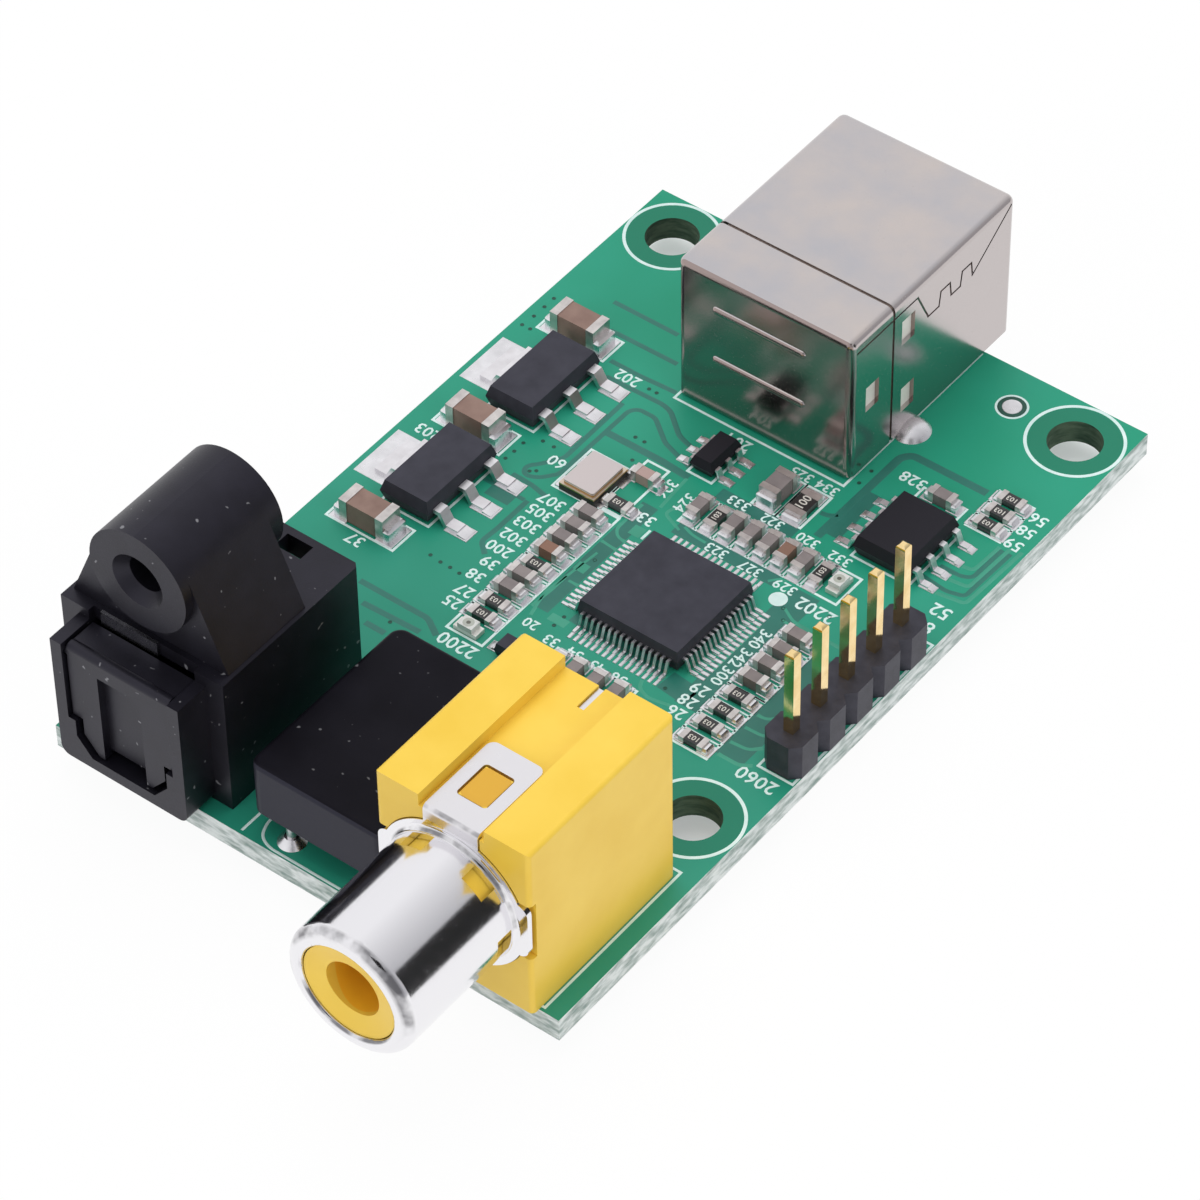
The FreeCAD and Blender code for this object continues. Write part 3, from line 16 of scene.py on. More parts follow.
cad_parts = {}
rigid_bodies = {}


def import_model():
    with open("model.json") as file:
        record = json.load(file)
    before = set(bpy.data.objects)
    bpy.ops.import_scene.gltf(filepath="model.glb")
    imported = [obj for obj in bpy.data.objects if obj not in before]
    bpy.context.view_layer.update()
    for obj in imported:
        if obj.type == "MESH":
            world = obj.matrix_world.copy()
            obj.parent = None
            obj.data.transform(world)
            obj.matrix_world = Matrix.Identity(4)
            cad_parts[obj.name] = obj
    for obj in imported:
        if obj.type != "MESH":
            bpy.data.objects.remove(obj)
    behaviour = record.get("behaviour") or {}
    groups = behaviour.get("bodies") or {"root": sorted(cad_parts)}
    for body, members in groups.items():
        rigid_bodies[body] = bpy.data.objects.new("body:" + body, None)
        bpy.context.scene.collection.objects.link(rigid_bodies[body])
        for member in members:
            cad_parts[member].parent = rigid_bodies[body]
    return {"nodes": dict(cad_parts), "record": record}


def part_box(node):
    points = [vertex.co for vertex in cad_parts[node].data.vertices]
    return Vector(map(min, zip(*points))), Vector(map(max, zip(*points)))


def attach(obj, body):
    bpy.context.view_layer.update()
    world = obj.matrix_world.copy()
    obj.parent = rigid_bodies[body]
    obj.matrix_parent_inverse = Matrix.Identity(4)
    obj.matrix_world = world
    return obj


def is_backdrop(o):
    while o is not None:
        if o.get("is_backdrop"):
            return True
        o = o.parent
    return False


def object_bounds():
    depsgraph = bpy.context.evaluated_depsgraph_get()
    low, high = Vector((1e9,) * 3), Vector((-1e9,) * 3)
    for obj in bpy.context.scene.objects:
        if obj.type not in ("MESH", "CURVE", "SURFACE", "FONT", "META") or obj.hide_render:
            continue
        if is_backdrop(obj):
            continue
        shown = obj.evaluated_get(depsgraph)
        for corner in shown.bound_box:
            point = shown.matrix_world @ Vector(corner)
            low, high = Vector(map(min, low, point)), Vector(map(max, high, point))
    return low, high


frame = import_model()
cad_low, cad_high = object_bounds()
solids = frame["nodes"]
MM = 0.001
print("solids loaded:", len(solids))

# %% [markdown]
# Every printed line and every pad lies on the board, so their places are easiest to write as
# millimetres from the board's front left corner. One helper turns such a place into metres.
# The board's own box gives the corner and the height of its top face.

# %% Places on the board
corner, far_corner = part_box("circuit_board")
BOARD_TOP = far_corner.z


def spot(x, y, z=0.0):
    """A place in metres, from millimetres right of, behind and above the board's front left corner."""
    return Vector((corner.x + x * MM, corner.y + y * MM, BOARD_TOP + z * MM))


print("board top at", round(BOARD_TOP / MM, 3), "mm")

# %% [markdown]
# Finishes are built from shader nodes. Wiring nodes one by one is long to write and hard to read,
# so a small class stands for one socket: sums with it add Math nodes, and its node method adds
# any other node, sets it up and joins its sockets. A formula then reads as it would on paper.

# %% A socket that can be used in sums
class Wire:
    """One output socket of a node tree."""

    def __init__(self, tree, socket):
        self.tree = tree
        self.socket = socket

    def node(self, kind, settings=None, inputs=None, out=0):
        """Adds a node, sets it, fills or joins its sockets, and gives one of its outputs."""
        made = self.tree.nodes.new(kind)
        for name, value in (settings or {}).items():
            setattr(made, name, value)
        for name, value in (inputs or {}).items():
            if isinstance(value, Wire):
                self.tree.links.new(value.socket, made.inputs[name])
            else:
                made.inputs[name].default_value = value
        return Wire(self.tree, made.outputs[out])

    def math(self, operation, first, second):
        return self.node("ShaderNodeMath", {"operation": operation}, {0: first, 1: second})

    def __add__(self, other):
        return self.math("ADD", self, other)

    def __radd__(self, other):
        return self.math("ADD", other, self)

    def __sub__(self, other):
        return self.math("SUBTRACT", self, other)

    def __rsub__(self, other):
        return self.math("SUBTRACT", other, self)

    def __mul__(self, other):
        return self.math("MULTIPLY", self, other)

    def __rmul__(self, other):
        return self.math("MULTIPLY", other, self)

    def __lt__(self, other):
        return self.math("LESS_THAN", self, other)

    def __gt__(self, other):
        return self.math("GREATER_THAN", self, other)

    def __abs__(self):
        return self.math("ABSOLUTE", self, 0.0)


def linear(red, green, blue):
    """A colour as a screen shows it, from 0 to 255, turned into the light that Blender reckons with."""
    parts = [part / 255 for part in (red, green, blue)]
    return [part / 12.92 if part <= 0.04045 else ((part + 0.055) / 1.055) ** 2.4 for part in parts] + [1.0]


print("mid grey in light:", round(linear(128, 128, 128)[0], 3))

# %% [markdown]
# A finish starts as a new material with one main shader, and the place on the surface feeds its
# patterns. The helpers here give the usual ones: cloudy noise, a mix of two colours and a bump. The
# grain size is given in millimetres, because Object coordinates are in metres and a noise's scale
# counts its cells along one metre.

# %% Starting a finish
def source(material, kind, out):
    """A wire from a new node that starts a chain of nodes."""
    return Wire(material.node_tree, None).node(kind, out=out)


def shader_of(material):
    """The main shader of a material."""
    return material.node_tree.nodes["Principled BSDF"]


def start_finish(name):
    """A new material, its shader and a wire with the place on the surface."""
    material = bpy.data.materials.new(name)
    material.use_nodes = True
    return material, shader_of(material), source(material, "ShaderNodeTexCoord", "Object")


def noise(place, grain, detail=3.0):
    """Cloudy noise between 0 and 1 with cells of about grain millimetres."""
    inputs = {"Vector": place, "Scale": 1 / (grain * MM), "Detail": detail}
    return place.node("ShaderNodeTexNoise", {"noise_dimensions": "3D"}, inputs)


def mixed(share, first, second):
    """First colour where share is 0, second where it is 1."""
    return share.node("ShaderNodeMix", {"data_type": "RGBA"}, {0: share, 6: first, 7: second}, out=2)


def clear(share, low, high):
    """A share stretched so that low becomes 0 and high becomes 1."""
    inputs = {0: share, 1: low, 2: high, 3: 0.0, 4: 1.0}
    return share.node("ShaderNodeMapRange", {"clamp": True}, inputs)


def parts_of(wire):
    """The x, y and z wires of a vector."""
    return [wire.node("ShaderNodeSeparateXYZ", None, {0: wire}, out=side) for side in range(3)]


def facing_of(place):
    """The x, y and z wires of the direction in which the surface faces."""
    return parts_of(place.node("ShaderNodeNewGeometry", out="Normal"))


def bumped(height, strength, depth):
    """A normal from a height between 0 and 1, with the depth in millimetres."""
    inputs = {"Strength": strength, "Distance": depth * MM, "Height": height}
    return height.node("ShaderNodeBump", None, inputs)


def join_to(shader, **wires):
    """Joins wires to a shader's sockets by name, with _ for a space."""
    for name, wire in wires.items():
        wire.tree.links.new(wire.socket, shader.inputs[name.replace("_", " ")])


print("helpers for finishes ready")

# %% [markdown]
# Most finishes here share one make-up: a colour that drifts a little, a gloss that changes with
# fine grain, and a faint bump. Real moulded and plated parts are never perfectly even, and these
# small changes are what the eye reads as material. Some plastics also carry specks of dust.

# %% A finish with grain
DUST_GRAIN = 0.5
DUST_LEVELS = (0.74, 0.78)
DUST_COLOUR = (150, 150, 154)


def grained_finish(name, dark, light, gloss, grain, drift, bump, depth,
                   metal=0.0, coat=0.0, shine=0.5, dust=0.0):
    """A finish that drifts between two colours, with grain in its gloss and bump, and some dust."""
    material, shader, place = start_finish(name)
    fine = noise(place, grain)
    cloud = clear(noise(place, drift), 0.3, 0.7)
    colour = mixed(cloud, linear(*dark), linear(*light))
    if dust > 0:
        specks = clear(noise(place, DUST_GRAIN, 1.0), *DUST_LEVELS)
        colour = mixed(specks * dust, colour, linear(*DUST_COLOUR))
    join_to(shader, Base_Color=colour)
    join_to(shader, Roughness=gloss[0] + fine * (gloss[1] - gloss[0]))
    join_to(shader, Normal=bumped(fine, bump, depth))
    shader.inputs["Metallic"].default_value = metal
    shader.inputs["Coat Weight"].default_value = coat
    shader.inputs["Specular IOR Level"].default_value = shine
    return material


finishes = {}
print("grained finish ready")

# %% [markdown]
# Some finishes differ only in places: on one part of several, inside a hole or a window where the
# colour is painted shade, or on faces that look one way where it is painted light. Cutting the piece
# there would be clumsy. Instead the finished material is recoloured by a share that comes from the
# place on the surface or from its normal.

# %% Another colour in places
STEEP = 0.6


def near(place, x, y, reach):
    """1 within reach of an upright line on the board, 0 elsewhere, all in millimetres."""
    from_x, from_y = parts_of(place)[:2]
    across = from_x - spot(x, y).x
    along = from_y - spot(x, y).y
    return (across * across + along * along) < (reach * MM) ** 2


def recolour(material, share, colour):
    """Gives a finish another colour where the share is 1."""
    shader = shader_of(material)
    before = Wire(material.node_tree, shader.inputs["Base Color"].links[0].from_socket)
    join_to(shader, Base_Color=mixed(share, before, linear(*colour)))


def tint(material, x, y, reach, colour):
    """Gives a finish another colour within reach of an upright line on the board."""
    place = source(material, "ShaderNodeTexCoord", "Object")
    recolour(material, near(place, x, y, reach), colour)


def paint_front_sheen(material, colour):
    """Gives a finish another colour, a painted sheen, on the faces that look towards the jacks' end."""
    normal = source(material, "ShaderNodeNewGeometry", "Normal")
    recolour(material, parts_of(normal)[1] < -STEEP, colour)


print("tints ready")

# %% [markdown]
# The board is glass fibre under green solder mask. Its top and bottom are green with a soft gloss,
# and its cut edges show the pale fibre in thin streaks. One material can do both, because the
# normal tells an edge from a face. Round the four screw holes there is no copper under the mask, so
# a ring there is darker: the holes sit evenly about the origin, so one distance serves for all four.

# %% Solder mask and fibre edge
HOLE_X = 14.5
HOLE_Y = 18.2
BARE_RING_R = 2.75
BORED_R = 1.9

material, shader, place = start_finish("green_solder_mask")
x, y = parts_of(place)[:2]
edge = abs(facing_of(place)[2]) < 0.5
across = abs(x) - HOLE_X * MM
along = abs(y) - HOLE_Y * MM
from_hole = across.math("POWER", across * across + along * along, 0.5)
hole_ring = from_hole < BARE_RING_R * MM
weave = noise(place, 0.5, 4.0)
cloud = clear(noise(place, 9.0, 2.0), 0.35, 0.65)
# painted light: the green shifts a little from the front of the board to its back
front_green = mixed(cloud, linear(35, 139, 114), linear(45, 148, 124))
back_green = mixed(cloud, linear(25, 147, 114), linear(34, 154, 124))
mask_green = mixed(clear(y, -16 * MM, 18 * MM), front_green, back_green)
mask_green = mixed(hole_ring * 0.75, mask_green, linear(18, 112, 86))
stretched = place.node("ShaderNodeMapping", None, {"Vector": place, "Scale": (0.7, 0.7, 2.4)})
streaks = clear(noise(stretched, 0.8, 6.0), 0.32, 0.62)
fibre = mixed(streaks, linear(142, 160, 154), linear(226, 232, 230))
# painted shade: the walls of the screw holes get a darker copy of the fibre colour
bore_painted_shade = mixed(streaks, linear(40, 66, 50), linear(84, 104, 84))
fibre = mixed(from_hole < BORED_R * MM, fibre, bore_painted_shade)
join_to(shader, Base_Color=mixed(edge, mask_green, fibre))
join_to(shader, Roughness=0.34 + edge * 0.4 + weave * 0.1)
join_to(shader, Normal=bumped(weave + edge * streaks * 2.5, 0.18, 0.02))
shader.inputs["Specular IOR Level"].default_value = 0.35
finishes["board"] = material
print("finish:", material.name)

# %% [markdown]
# Tin covers the leads, the pads and the ends of the small parts. It is a soft metal with a satin
# shine, slightly uneven where it flowed. Solder is the same metal but smoother, since it set from
# liquid. Both are metals with a light neutral colour, and only their gloss and bump differ.

# %% Tin, solder and end caps
finishes["lead_metal"] = grained_finish(
    "tin_plated_lead", (222, 219, 222), (240, 238, 241), (0.24, 0.38), 0.10, 0.8, 0.10, 0.006, metal=1.0)
finishes["solder"] = grained_finish(
    "bright_solder", (222, 221, 224), (242, 241, 244), (0.20, 0.38), 0.30, 0.9, 0.15, 0.015, metal=1.0)
finishes["end_metal"] = grained_finish(
    "tinned_end_cap", (196, 190, 188), (224, 219, 216), (0.28, 0.46), 0.10, 0.6, 0.25, 0.008, metal=0.9)
print("finishes:", len(finishes))

# %% [markdown]
# The data socket's shell is folded from nickel-plated steel. The plate is bright but not a mirror:
# it has a warm grey tone, tiny specks and faint smears from rolling. Two noises of very different
# size give the specks and the smears, and both only touch the gloss and the colour slightly. The
# standing faces get painted shade, a darker plate colour, most of all the rear cover's face, so they
# are duller than the top.

# %% Nickel shell
material, shader, place = start_finish("nickel_plated_shell")
specks = clear(noise(place, 0.09, 2.0), 0.62, 0.75)
smears = clear(noise(place, 3.5, 3.0), 0.3, 0.7)
across, forward = facing_of(place)[:2]
plate = mixed(smears, linear(192, 190, 194), linear(207, 198, 194))
# painted shade: the side faces get a darker colour, and the faces that look forward a darker one still
plate = mixed(abs(across) > STEEP, plate, linear(194, 186, 185))
plate = mixed(forward < -STEEP, plate, linear(166, 150, 146))
join_to(shader, Base_Color=mixed(specks * 0.3, plate, linear(170, 162, 157)))
join_to(shader, Roughness=0.17 + smears * 0.03 + specks * 0.12)
join_to(shader, Normal=bumped(noise(place, 0.25, 2.0), 0.03, 0.006))
shader.inputs["Metallic"].default_value = 1.0
finishes["socket_shell"] = material
print("finish:", material.name)

# %% [markdown]
# The phono jack's barrel is bright plated and acts as a mirror, while its flat strap is duller
# where it was pressed. The strap lies behind the body's front face and high up, so the place along
# the board tells the two apart. The rounded lip at the mouth, and other faces turned forward and up
# like it, are darker in patches. A mirror needs something to reflect: the lamps and cards come later.

# %% Bright barrel and dull strap
STRAP_FRONT = -0.9
STRAP_DEPTH = 1.4

coax_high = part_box("coax_body")[1]
material, shader, place = start_finish("bright_nickel_barrel")
y, z = parts_of(place)[1:]
strap = (y > spot(0, STRAP_FRONT).y) * (z > coax_high.z - STRAP_DEPTH * MM)
scuffs = noise(place, 0.35, 4.0)
grains = clear(noise(place, 0.07, 2.0), 0.55, 0.8)
forward, upward = facing_of(place)[1:]
# faces turned forward and up, such as the rounded lip, get darker patches
rounded = clear(forward, -0.15, -0.40) * clear(forward, -0.97, -0.80) * clear(upward, -0.15, 0.10)
dark_patches = rounded * clear(noise(place, 1.7), 0.38, 0.60) * 0.75
plating = mixed(strap, linear(240, 239, 242), linear(236, 234, 237))
join_to(shader, Base_Color=mixed(dark_patches, plating, linear(62, 61, 66)))
join_to(shader, Roughness=0.09 + strap * 0.16 + scuffs * 0.08 + grains * 0.16)
join_to(shader, Normal=bumped(scuffs, 0.05, 0.01))
shader.inputs["Metallic"].default_value = 1.0
finishes["coax_metal"] = material
print("finish:", material.name)

# %% [markdown]
# The jack's body is yellow moulded plastic with a soft gloss and very faint flow marks. The optical
# socket, the transformer and the pin strip are dark plastics with a fine spark-eroded grain, which
# catches light as a grey sheen, and a little dust. They use the same make-up with other colours and
# grain sizes, and their sheen is a little blue. The transformer's front faces get a painted sheen, and
# in the window of the barrel's strap and inside the mouth the yellow gets painted shade, darker and
# more orange. The lamps' clear lenses show a pale cup and a dark die, and the two small chips are
# darker than the others.

# %% Moulded plastics
JACK_X = 28.64
WINDOW_Y = 2.4
WINDOW_REACH = 1.35
MOUTH_Y = -5.4
MOUTH_REACH = 3.2
LAMP_LENSES = ("lamp_1_lens", "lamp_2_lens")
LAMP_CUP_R = 0.34
LAMP_DIE_R = 0.13
DARKER_CHIPS = ("six_lead_chip_body", "eight_lead_chip_body")
CHIP_REACH = 4.0
DARK_PLASTICS = ("optical_plastic", "transformer_plastic", "header_plastic", "chip_plastic")


def board_place(node):
    """The middle of a node's box in millimetres on the board."""
    low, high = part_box(node)
    middle = (low + high) / 2 - spot(0, 0)
    return middle.x / MM, middle.y / MM


finishes["coax_plastic"] = grained_finish(
    "yellow_moulding", (236, 196, 66), (243, 206, 82), (0.30, 0.42), 0.15, 4.0, 0.10, 0.01, shine=0.4)
# painted shade: the yellow in the strap's window and inside the mouth is darker and more orange
tint(finishes["coax_plastic"], JACK_X, WINDOW_Y, WINDOW_REACH, (216, 166, 52))
tint(finishes["coax_plastic"], JACK_X, MOUTH_Y, MOUTH_REACH, (242, 184, 46))
finishes["optical_plastic"] = grained_finish(
    "dark_grained_moulding", (15, 14, 19), (22, 21, 28), (0.32, 0.48), 0.10, 1.5, 0.4, 0.012,
    shine=0.45, dust=0.6)
finishes["transformer_plastic"] = grained_finish(
    "dark_smooth_moulding", (13, 12, 17), (20, 19, 25), (0.28, 0.42), 0.16, 3.0, 0.25, 0.01,
    shine=0.10, dust=0.4)
# painted sheen: the transformer's faces that look forward get a lighter colour
paint_front_sheen(finishes["transformer_plastic"], (46, 46, 55))
finishes["header_plastic"] = grained_finish(
    "dark_strip_moulding", (42, 42, 48), (56, 56, 63), (0.36, 0.60), 0.08, 0.8, 0.5, 0.01, shine=0.45)
finishes["chip_plastic"] = grained_finish(
    "moulded_epoxy", (50, 50, 57), (60, 60, 68), (0.42, 0.66), 0.05, 1.2, 0.6, 0.006, shine=0.3)
finishes["socket_plastic"] = grained_finish(
    "white_moulding", (222, 220, 212), (236, 234, 227), (0.32, 0.48), 0.2, 1.5, 0.15, 0.01)
finishes["emitter_plastic"] = grained_finish(
    "smoked_clear_moulding", (58, 40, 40), (76, 50, 48), (0.12, 0.22), 0.3, 1.0, 0.08, 0.01, coat=0.4)
finishes["lamp_plastic"] = grained_finish(
    "lamp_base_moulding", (216, 215, 210), (236, 235, 231), (0.30, 0.45), 0.1, 0.5, 0.2, 0.006, metal=0.5)
finishes["lamp_lens"] = grained_finish(
    "clear_lamp_resin", (226, 228, 224), (242, 243, 240), (0.10, 0.2), 0.2, 0.4, 0.1, 0.006)
shader_of(finishes["lamp_lens"]).inputs["Transmission Weight"].default_value = 0.2
for x, y in map(board_place, LAMP_LENSES):
    tint(finishes["lamp_lens"], x, y, LAMP_CUP_R, (196, 200, 190))
    tint(finishes["lamp_lens"], x, y, LAMP_DIE_R, (112, 112, 102))
for x, y in map(board_place, DARKER_CHIPS):
    tint(finishes["chip_plastic"], x, y, CHIP_REACH, (30, 29, 33))
for name in DARK_PLASTICS:
    shader_of(finishes[name]).inputs["Specular Tint"].default_value = linear(232, 229, 252)
print("finishes:", len(finishes))

# %% [markdown]
# The pins are brass with a thin gold flash and the spring is bright steel. The blocks of the small
# capacitors are fired ceramic, grey or tan, with a dry even face, and the small resistors carry a
# black glaze. Ceramics are matt with a fine grain, and the glaze is a little glossier.

# %% Gold, spring steel and ceramics
WARM_BLOCK_REACH = 0.7
WARM_BLOCKS = [
    # x and y on the board, and the colour of the small capacitor there
    (13.60, 26.58, (134, 100, 84)),
    (24.37, 34.45, (128, 98, 84)),
    (14.35, 34.55, (176, 150, 144)),
]
finishes["header_metal"] = grained_finish(
    "gold_flashed_pin", (240, 206, 140), (253, 228, 172), (0.07, 0.15), 0.1, 0.9, 0.15, 0.006, metal=1.0)
finishes["contact_metal"] = grained_finish(
    "gold_flashed_contact", (214, 172, 96), (238, 202, 130), (0.16, 0.30), 0.1, 0.9, 0.2, 0.006, metal=1.0)
finishes["spring_metal"] = grained_finish(
    "spring_steel", (168, 168, 172), (198, 198, 202), (0.20, 0.36), 0.12, 0.9, 0.2, 0.006, metal=1.0)
material, shader, place = start_finish("grey_ceramic")
grit = noise(place, 0.06)
block_grey = mixed(clear(noise(place, 1.3), 0.3, 0.7), linear(120, 112, 112), linear(140, 131, 130))
for x, y, colour in WARM_BLOCKS:
    block_grey = mixed(near(place, x, y, WARM_BLOCK_REACH), block_grey, linear(*colour))
join_to(shader, Base_Color=block_grey)
join_to(shader, Roughness=0.42 + grit * 0.2)
join_to(shader, Normal=bumped(grit, 0.4, 0.006))
finishes["ceramic_grey"] = material
finishes["ceramic_tan"] = grained_finish(
    "tan_ceramic", (126, 100, 90), (146, 120, 109), (0.40, 0.60), 0.08, 1.2, 0.4, 0.008)
finishes["resistor_black"] = grained_finish(
    "black_glaze", (30, 29, 30), (44, 43, 44), (0.22, 0.40), 0.08, 0.5, 0.3, 0.006, coat=0.2)
print("finishes:", len(finishes))

# %% [markdown]
# The oscillator is a ceramic tray with a thin metal lid. The lid's top is satin nickel, and a warm
# gold line shows along its foot, and on the tray's rim, where it is brazed to the tray. The height
# along the part decides between the two colours.

# %% Oscillator lid and tray
FOOT_SHARE = 0.35
GOLD_RIM = 0.10

lid_low, lid_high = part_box("oscillator_lid")
material, shader, place = start_finish("satin_lid")
z = parts_of(place)[2]
foot = z < lid_low.z + FOOT_SHARE * (lid_high.z - lid_low.z)
satin = noise(place, 0.12, 3.0)
join_to(shader, Base_Color=mixed(foot, linear(214, 204, 203), linear(196, 158, 96)))
join_to(shader, Roughness=0.28 + satin * 0.2)
join_to(shader, Normal=bumped(satin, 0.15, 0.006))
shader.inputs["Metallic"].default_value = 0.9
finishes["oscillator_metal"] = material
print("finish:", material.name)
tray_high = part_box("oscillator_base")[1]
material, shader, place = start_finish("dark_tray_with_gold_rim")
z = parts_of(place)[2]
rim = z > tray_high.z - GOLD_RIM * MM
flat = facing_of(place)[2] > 0.7
grit = noise(place, 0.08)
tray_dark = mixed(clear(noise(place, 0.6), 0.3, 0.7), linear(44, 40, 38), linear(60, 55, 52))
rim_metal = mixed(flat, linear(214, 176, 108), linear(216, 200, 182))
join_to(shader, Base_Color=mixed(rim, tray_dark, rim_metal))
join_to(shader, Metallic=rim * 0.9)
join_to(shader, Roughness=0.52 - rim * 0.26 + grit * 0.1)
finishes["oscillator_ceramic"] = material
print("finish:", material.name)

# %% [markdown]
# The record names a material slot for each solid. Each solid keeps its shape and only gets the
# finish of its slot.

# %% Dress the solids
for entry in frame["record"]["subparts"]:
    solid = solids[entry["node"]]
    for place_for_finish in solid.material_slots:
        place_for_finish.material = finishes[entry["material_slot"]]
    if not solid.material_slots:
        print("no place for a finish on", solid.name)

# %% [markdown]
# New pieces are modelled as by hand: add a simple shape, open it, choose faces or edges by where
# they are, and bevel, inset or extrude them. A few helpers keep each piece short. Operators act on
# all that is selected, so the first helper always lets go of everything.

# %% Choosing faces and edges
def let_go():
    """Leaves edit mode with nothing selected."""
    if bpy.context.object and bpy.context.object.mode != "OBJECT":
        bpy.ops.object.mode_set(mode="OBJECT")
    bpy.ops.object.select_all(action="DESELECT")


def take(piece):
    """Selects one piece alone and makes it the active one."""
    let_go()
    piece.select_set(True)
    bpy.context.view_layer.objects.active = piece


def choose(piece, kind, test):
    """Opens a piece with only the faces or edges whose middle and direction pass a test."""
    take(piece)
    bpy.ops.object.mode_set(mode="EDIT")
    bpy.ops.mesh.select_mode(type=kind)
    bpy.ops.mesh.select_all(action="DESELECT")
    shape = bmesh.from_edit_mesh(piece.data)
    if kind == "FACE":
        chosen = [face for face in shape.faces if test(face.calc_center_median(), face.normal)]
    else:
        chosen = [edge for edge in shape.edges
                  if test((edge.verts[0].co + edge.verts[1].co) / 2,
                          (edge.verts[1].co - edge.verts[0].co).normalized())]
    for part in chosen:
        part.select_set(True)
    bmesh.update_edit_mesh(piece.data)


print("helpers to choose faces and edges ready")

# %% [markdown]
# Pieces on a board start as blocks or as flat discs. Their place goes into the mesh at once, so that
# the object itself stays at the origin, as the solids do. A flat piece gets its thickness from a
# Solidify modifier, and the upper edges of a piece are softened by a bevel.

# %% Blocks, discs and soft edges
def start_block(name, low, high):
    """A block between two corners, with its place in its mesh."""
    let_go()
    bpy.ops.mesh.primitive_cube_add(size=1, location=(low + high) / 2)
    block = bpy.context.object
    block.name = name
    block.scale = high - low
    bpy.ops.object.transform_apply(location=True, rotation=True, scale=True)
    return block


def start_disc(name, middle, radius, sides):
    """A flat disc of one face, with its place in its mesh."""
    let_go()
    bpy.ops.mesh.primitive_circle_add(vertices=sides, radius=radius, fill_type="NGON", location=middle)
    disc = bpy.context.object
    disc.name = name
    bpy.ops.object.transform_apply(location=True, rotation=True, scale=True)
    return disc


def apply_solidify(piece, thick):
    """Gives a flat piece its thickness, upwards."""
    take(piece)
    wall = piece.modifiers.new("thickness", "SOLIDIFY")
    wall.thickness = thick
    wall.offset = 1.0
    bpy.ops.object.modifier_apply(modifier=wall.name)


def soften_top(piece, above, offset, segments):
    """Bevels the edges of a piece that lie above a level in metres. The offset is in millimetres."""
    choose(piece, "EDGE", lambda middle, way: middle.z > above)
    bpy.ops.mesh.bevel(offset=offset * MM, segments=segments, affect="EDGES")
    let_go()


print("helpers for shapes ready")

# %% [markdown]
# What repeats is modelled once and copied, each copy with a mesh of its own. The copies are joined
# into one piece of a kind, and the pattern is deleted. A finished piece then gets its finish, its
# material slot and the body that it moves with.

# %% Copies and finished pieces
def copy_of(piece, turn, move):
    """A copy with its own mesh, turned about the upright axis and then moved."""
    twin = piece.copy()
    twin.data = piece.data.copy()
    twin.data.transform(Matrix.Translation(move) @ Matrix.Rotation(turn, 4, "Z"))
    bpy.context.collection.objects.link(twin)
    return twin


def remove(pieces):
    """Deletes the patterns that copies were taken from."""
    for piece in pieces:
        bpy.data.objects.remove(piece)


def joined(pieces, name):
    """Joins pieces into one under a new name."""
    take(pieces[0])
    for piece in pieces:
        piece.select_set(True)
    bpy.ops.object.join()
    pieces[0].name = name
    pieces[0].data.name = name
    return pieces[0]


def hand_over(piece, finish):
    """Gives a finished piece its finish and the body that it rides on."""
    piece.data.materials.clear()
    piece.data.materials.append(finish)
    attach(piece, "module")
    print("piece:", piece.name, len(piece.data.polygons), "faces")


print("helpers for copies ready")

# %% [markdown]
# Pads and solder must sit where the solids' ends and leads are. Several of those solids share one
# node, so a copy of the node is merged, split into its loose parts and measured, and the copies are
# deleted again. The solids themselves are left alone.

# %% Measure the small solids
def boxes_in(node):
    """The lowest and highest corners of each loose part of a node."""
    let_go()
    copy = solids[node].copy()
    copy.data = solids[node].data.copy()
    bpy.context.collection.objects.link(copy)
    others = set(bpy.data.objects) - {copy}
    take(copy)
    bpy.ops.object.mode_set(mode="EDIT")
    bpy.ops.mesh.select_all(action="SELECT")
    bpy.ops.mesh.remove_doubles(threshold=1e-7)
    bpy.ops.mesh.separate(type="LOOSE")
    bpy.ops.object.mode_set(mode="OBJECT")
    pieces = [piece for piece in bpy.data.objects if piece not in others]
    found = []
    for piece in pieces:
        points = [point.co for point in piece.data.vertices]
        low = Vector([min(point[side] for point in points) for side in range(3)])
        high = Vector([max(point[side] for point in points) for side in range(3)])
        found.append((low, high))
    remove(pieces)
    return sorted(found, key=lambda corners: (round(corners[0].x, 6), round(corners[0].y, 6)))


def middle_of(corners):
    """The middle of a box."""
    return (corners[0] + corners[1]) / 2


BLOCKS = ["small_capacitors", "small_resistors", "large_capacitor", "large_resistor",
          "bulk_capacitor_1", "bulk_capacitor_2", "bulk_capacitor_3"]
ENDS = ["small_capacitor_ends", "small_resistor_ends", "large_capacitor_ends", "large_resistor_ends",
        "bulk_capacitor_1_ends", "bulk_capacitor_2_ends", "bulk_capacitor_3_ends"]
blocks = {name: boxes_in(name) for name in BLOCKS}
ends = {name: boxes_in(name) for name in ENDS}
print("blocks:", sum(map(len, blocks.values())), "ends:", sum(map(len, ends.values())))

# %% [markdown]
# Under each end of a small part is a tinned pad a little larger than the end, and solder climbs
# from it up the end face in a hollow curve. A hollow curve is what a bevel makes when its profile
# is low, so a block gives the fillet: one bevel rounds its outer corners and one hollows its top.
# The pad is a thin block with softened edges, and the ramp at a lead's toe is a block whose far upper
# edge is pushed down. Each size is modelled once.

# %% Patterns of pads and solder
SINK = 0.004
PAD_TOP = 0.05
PAD_BEVEL = 0.045
HOLLOW = 0.22
RAMP_FALL = 0.62
SMOOTH_ANGLE = math.radians(40)
patterns = {}


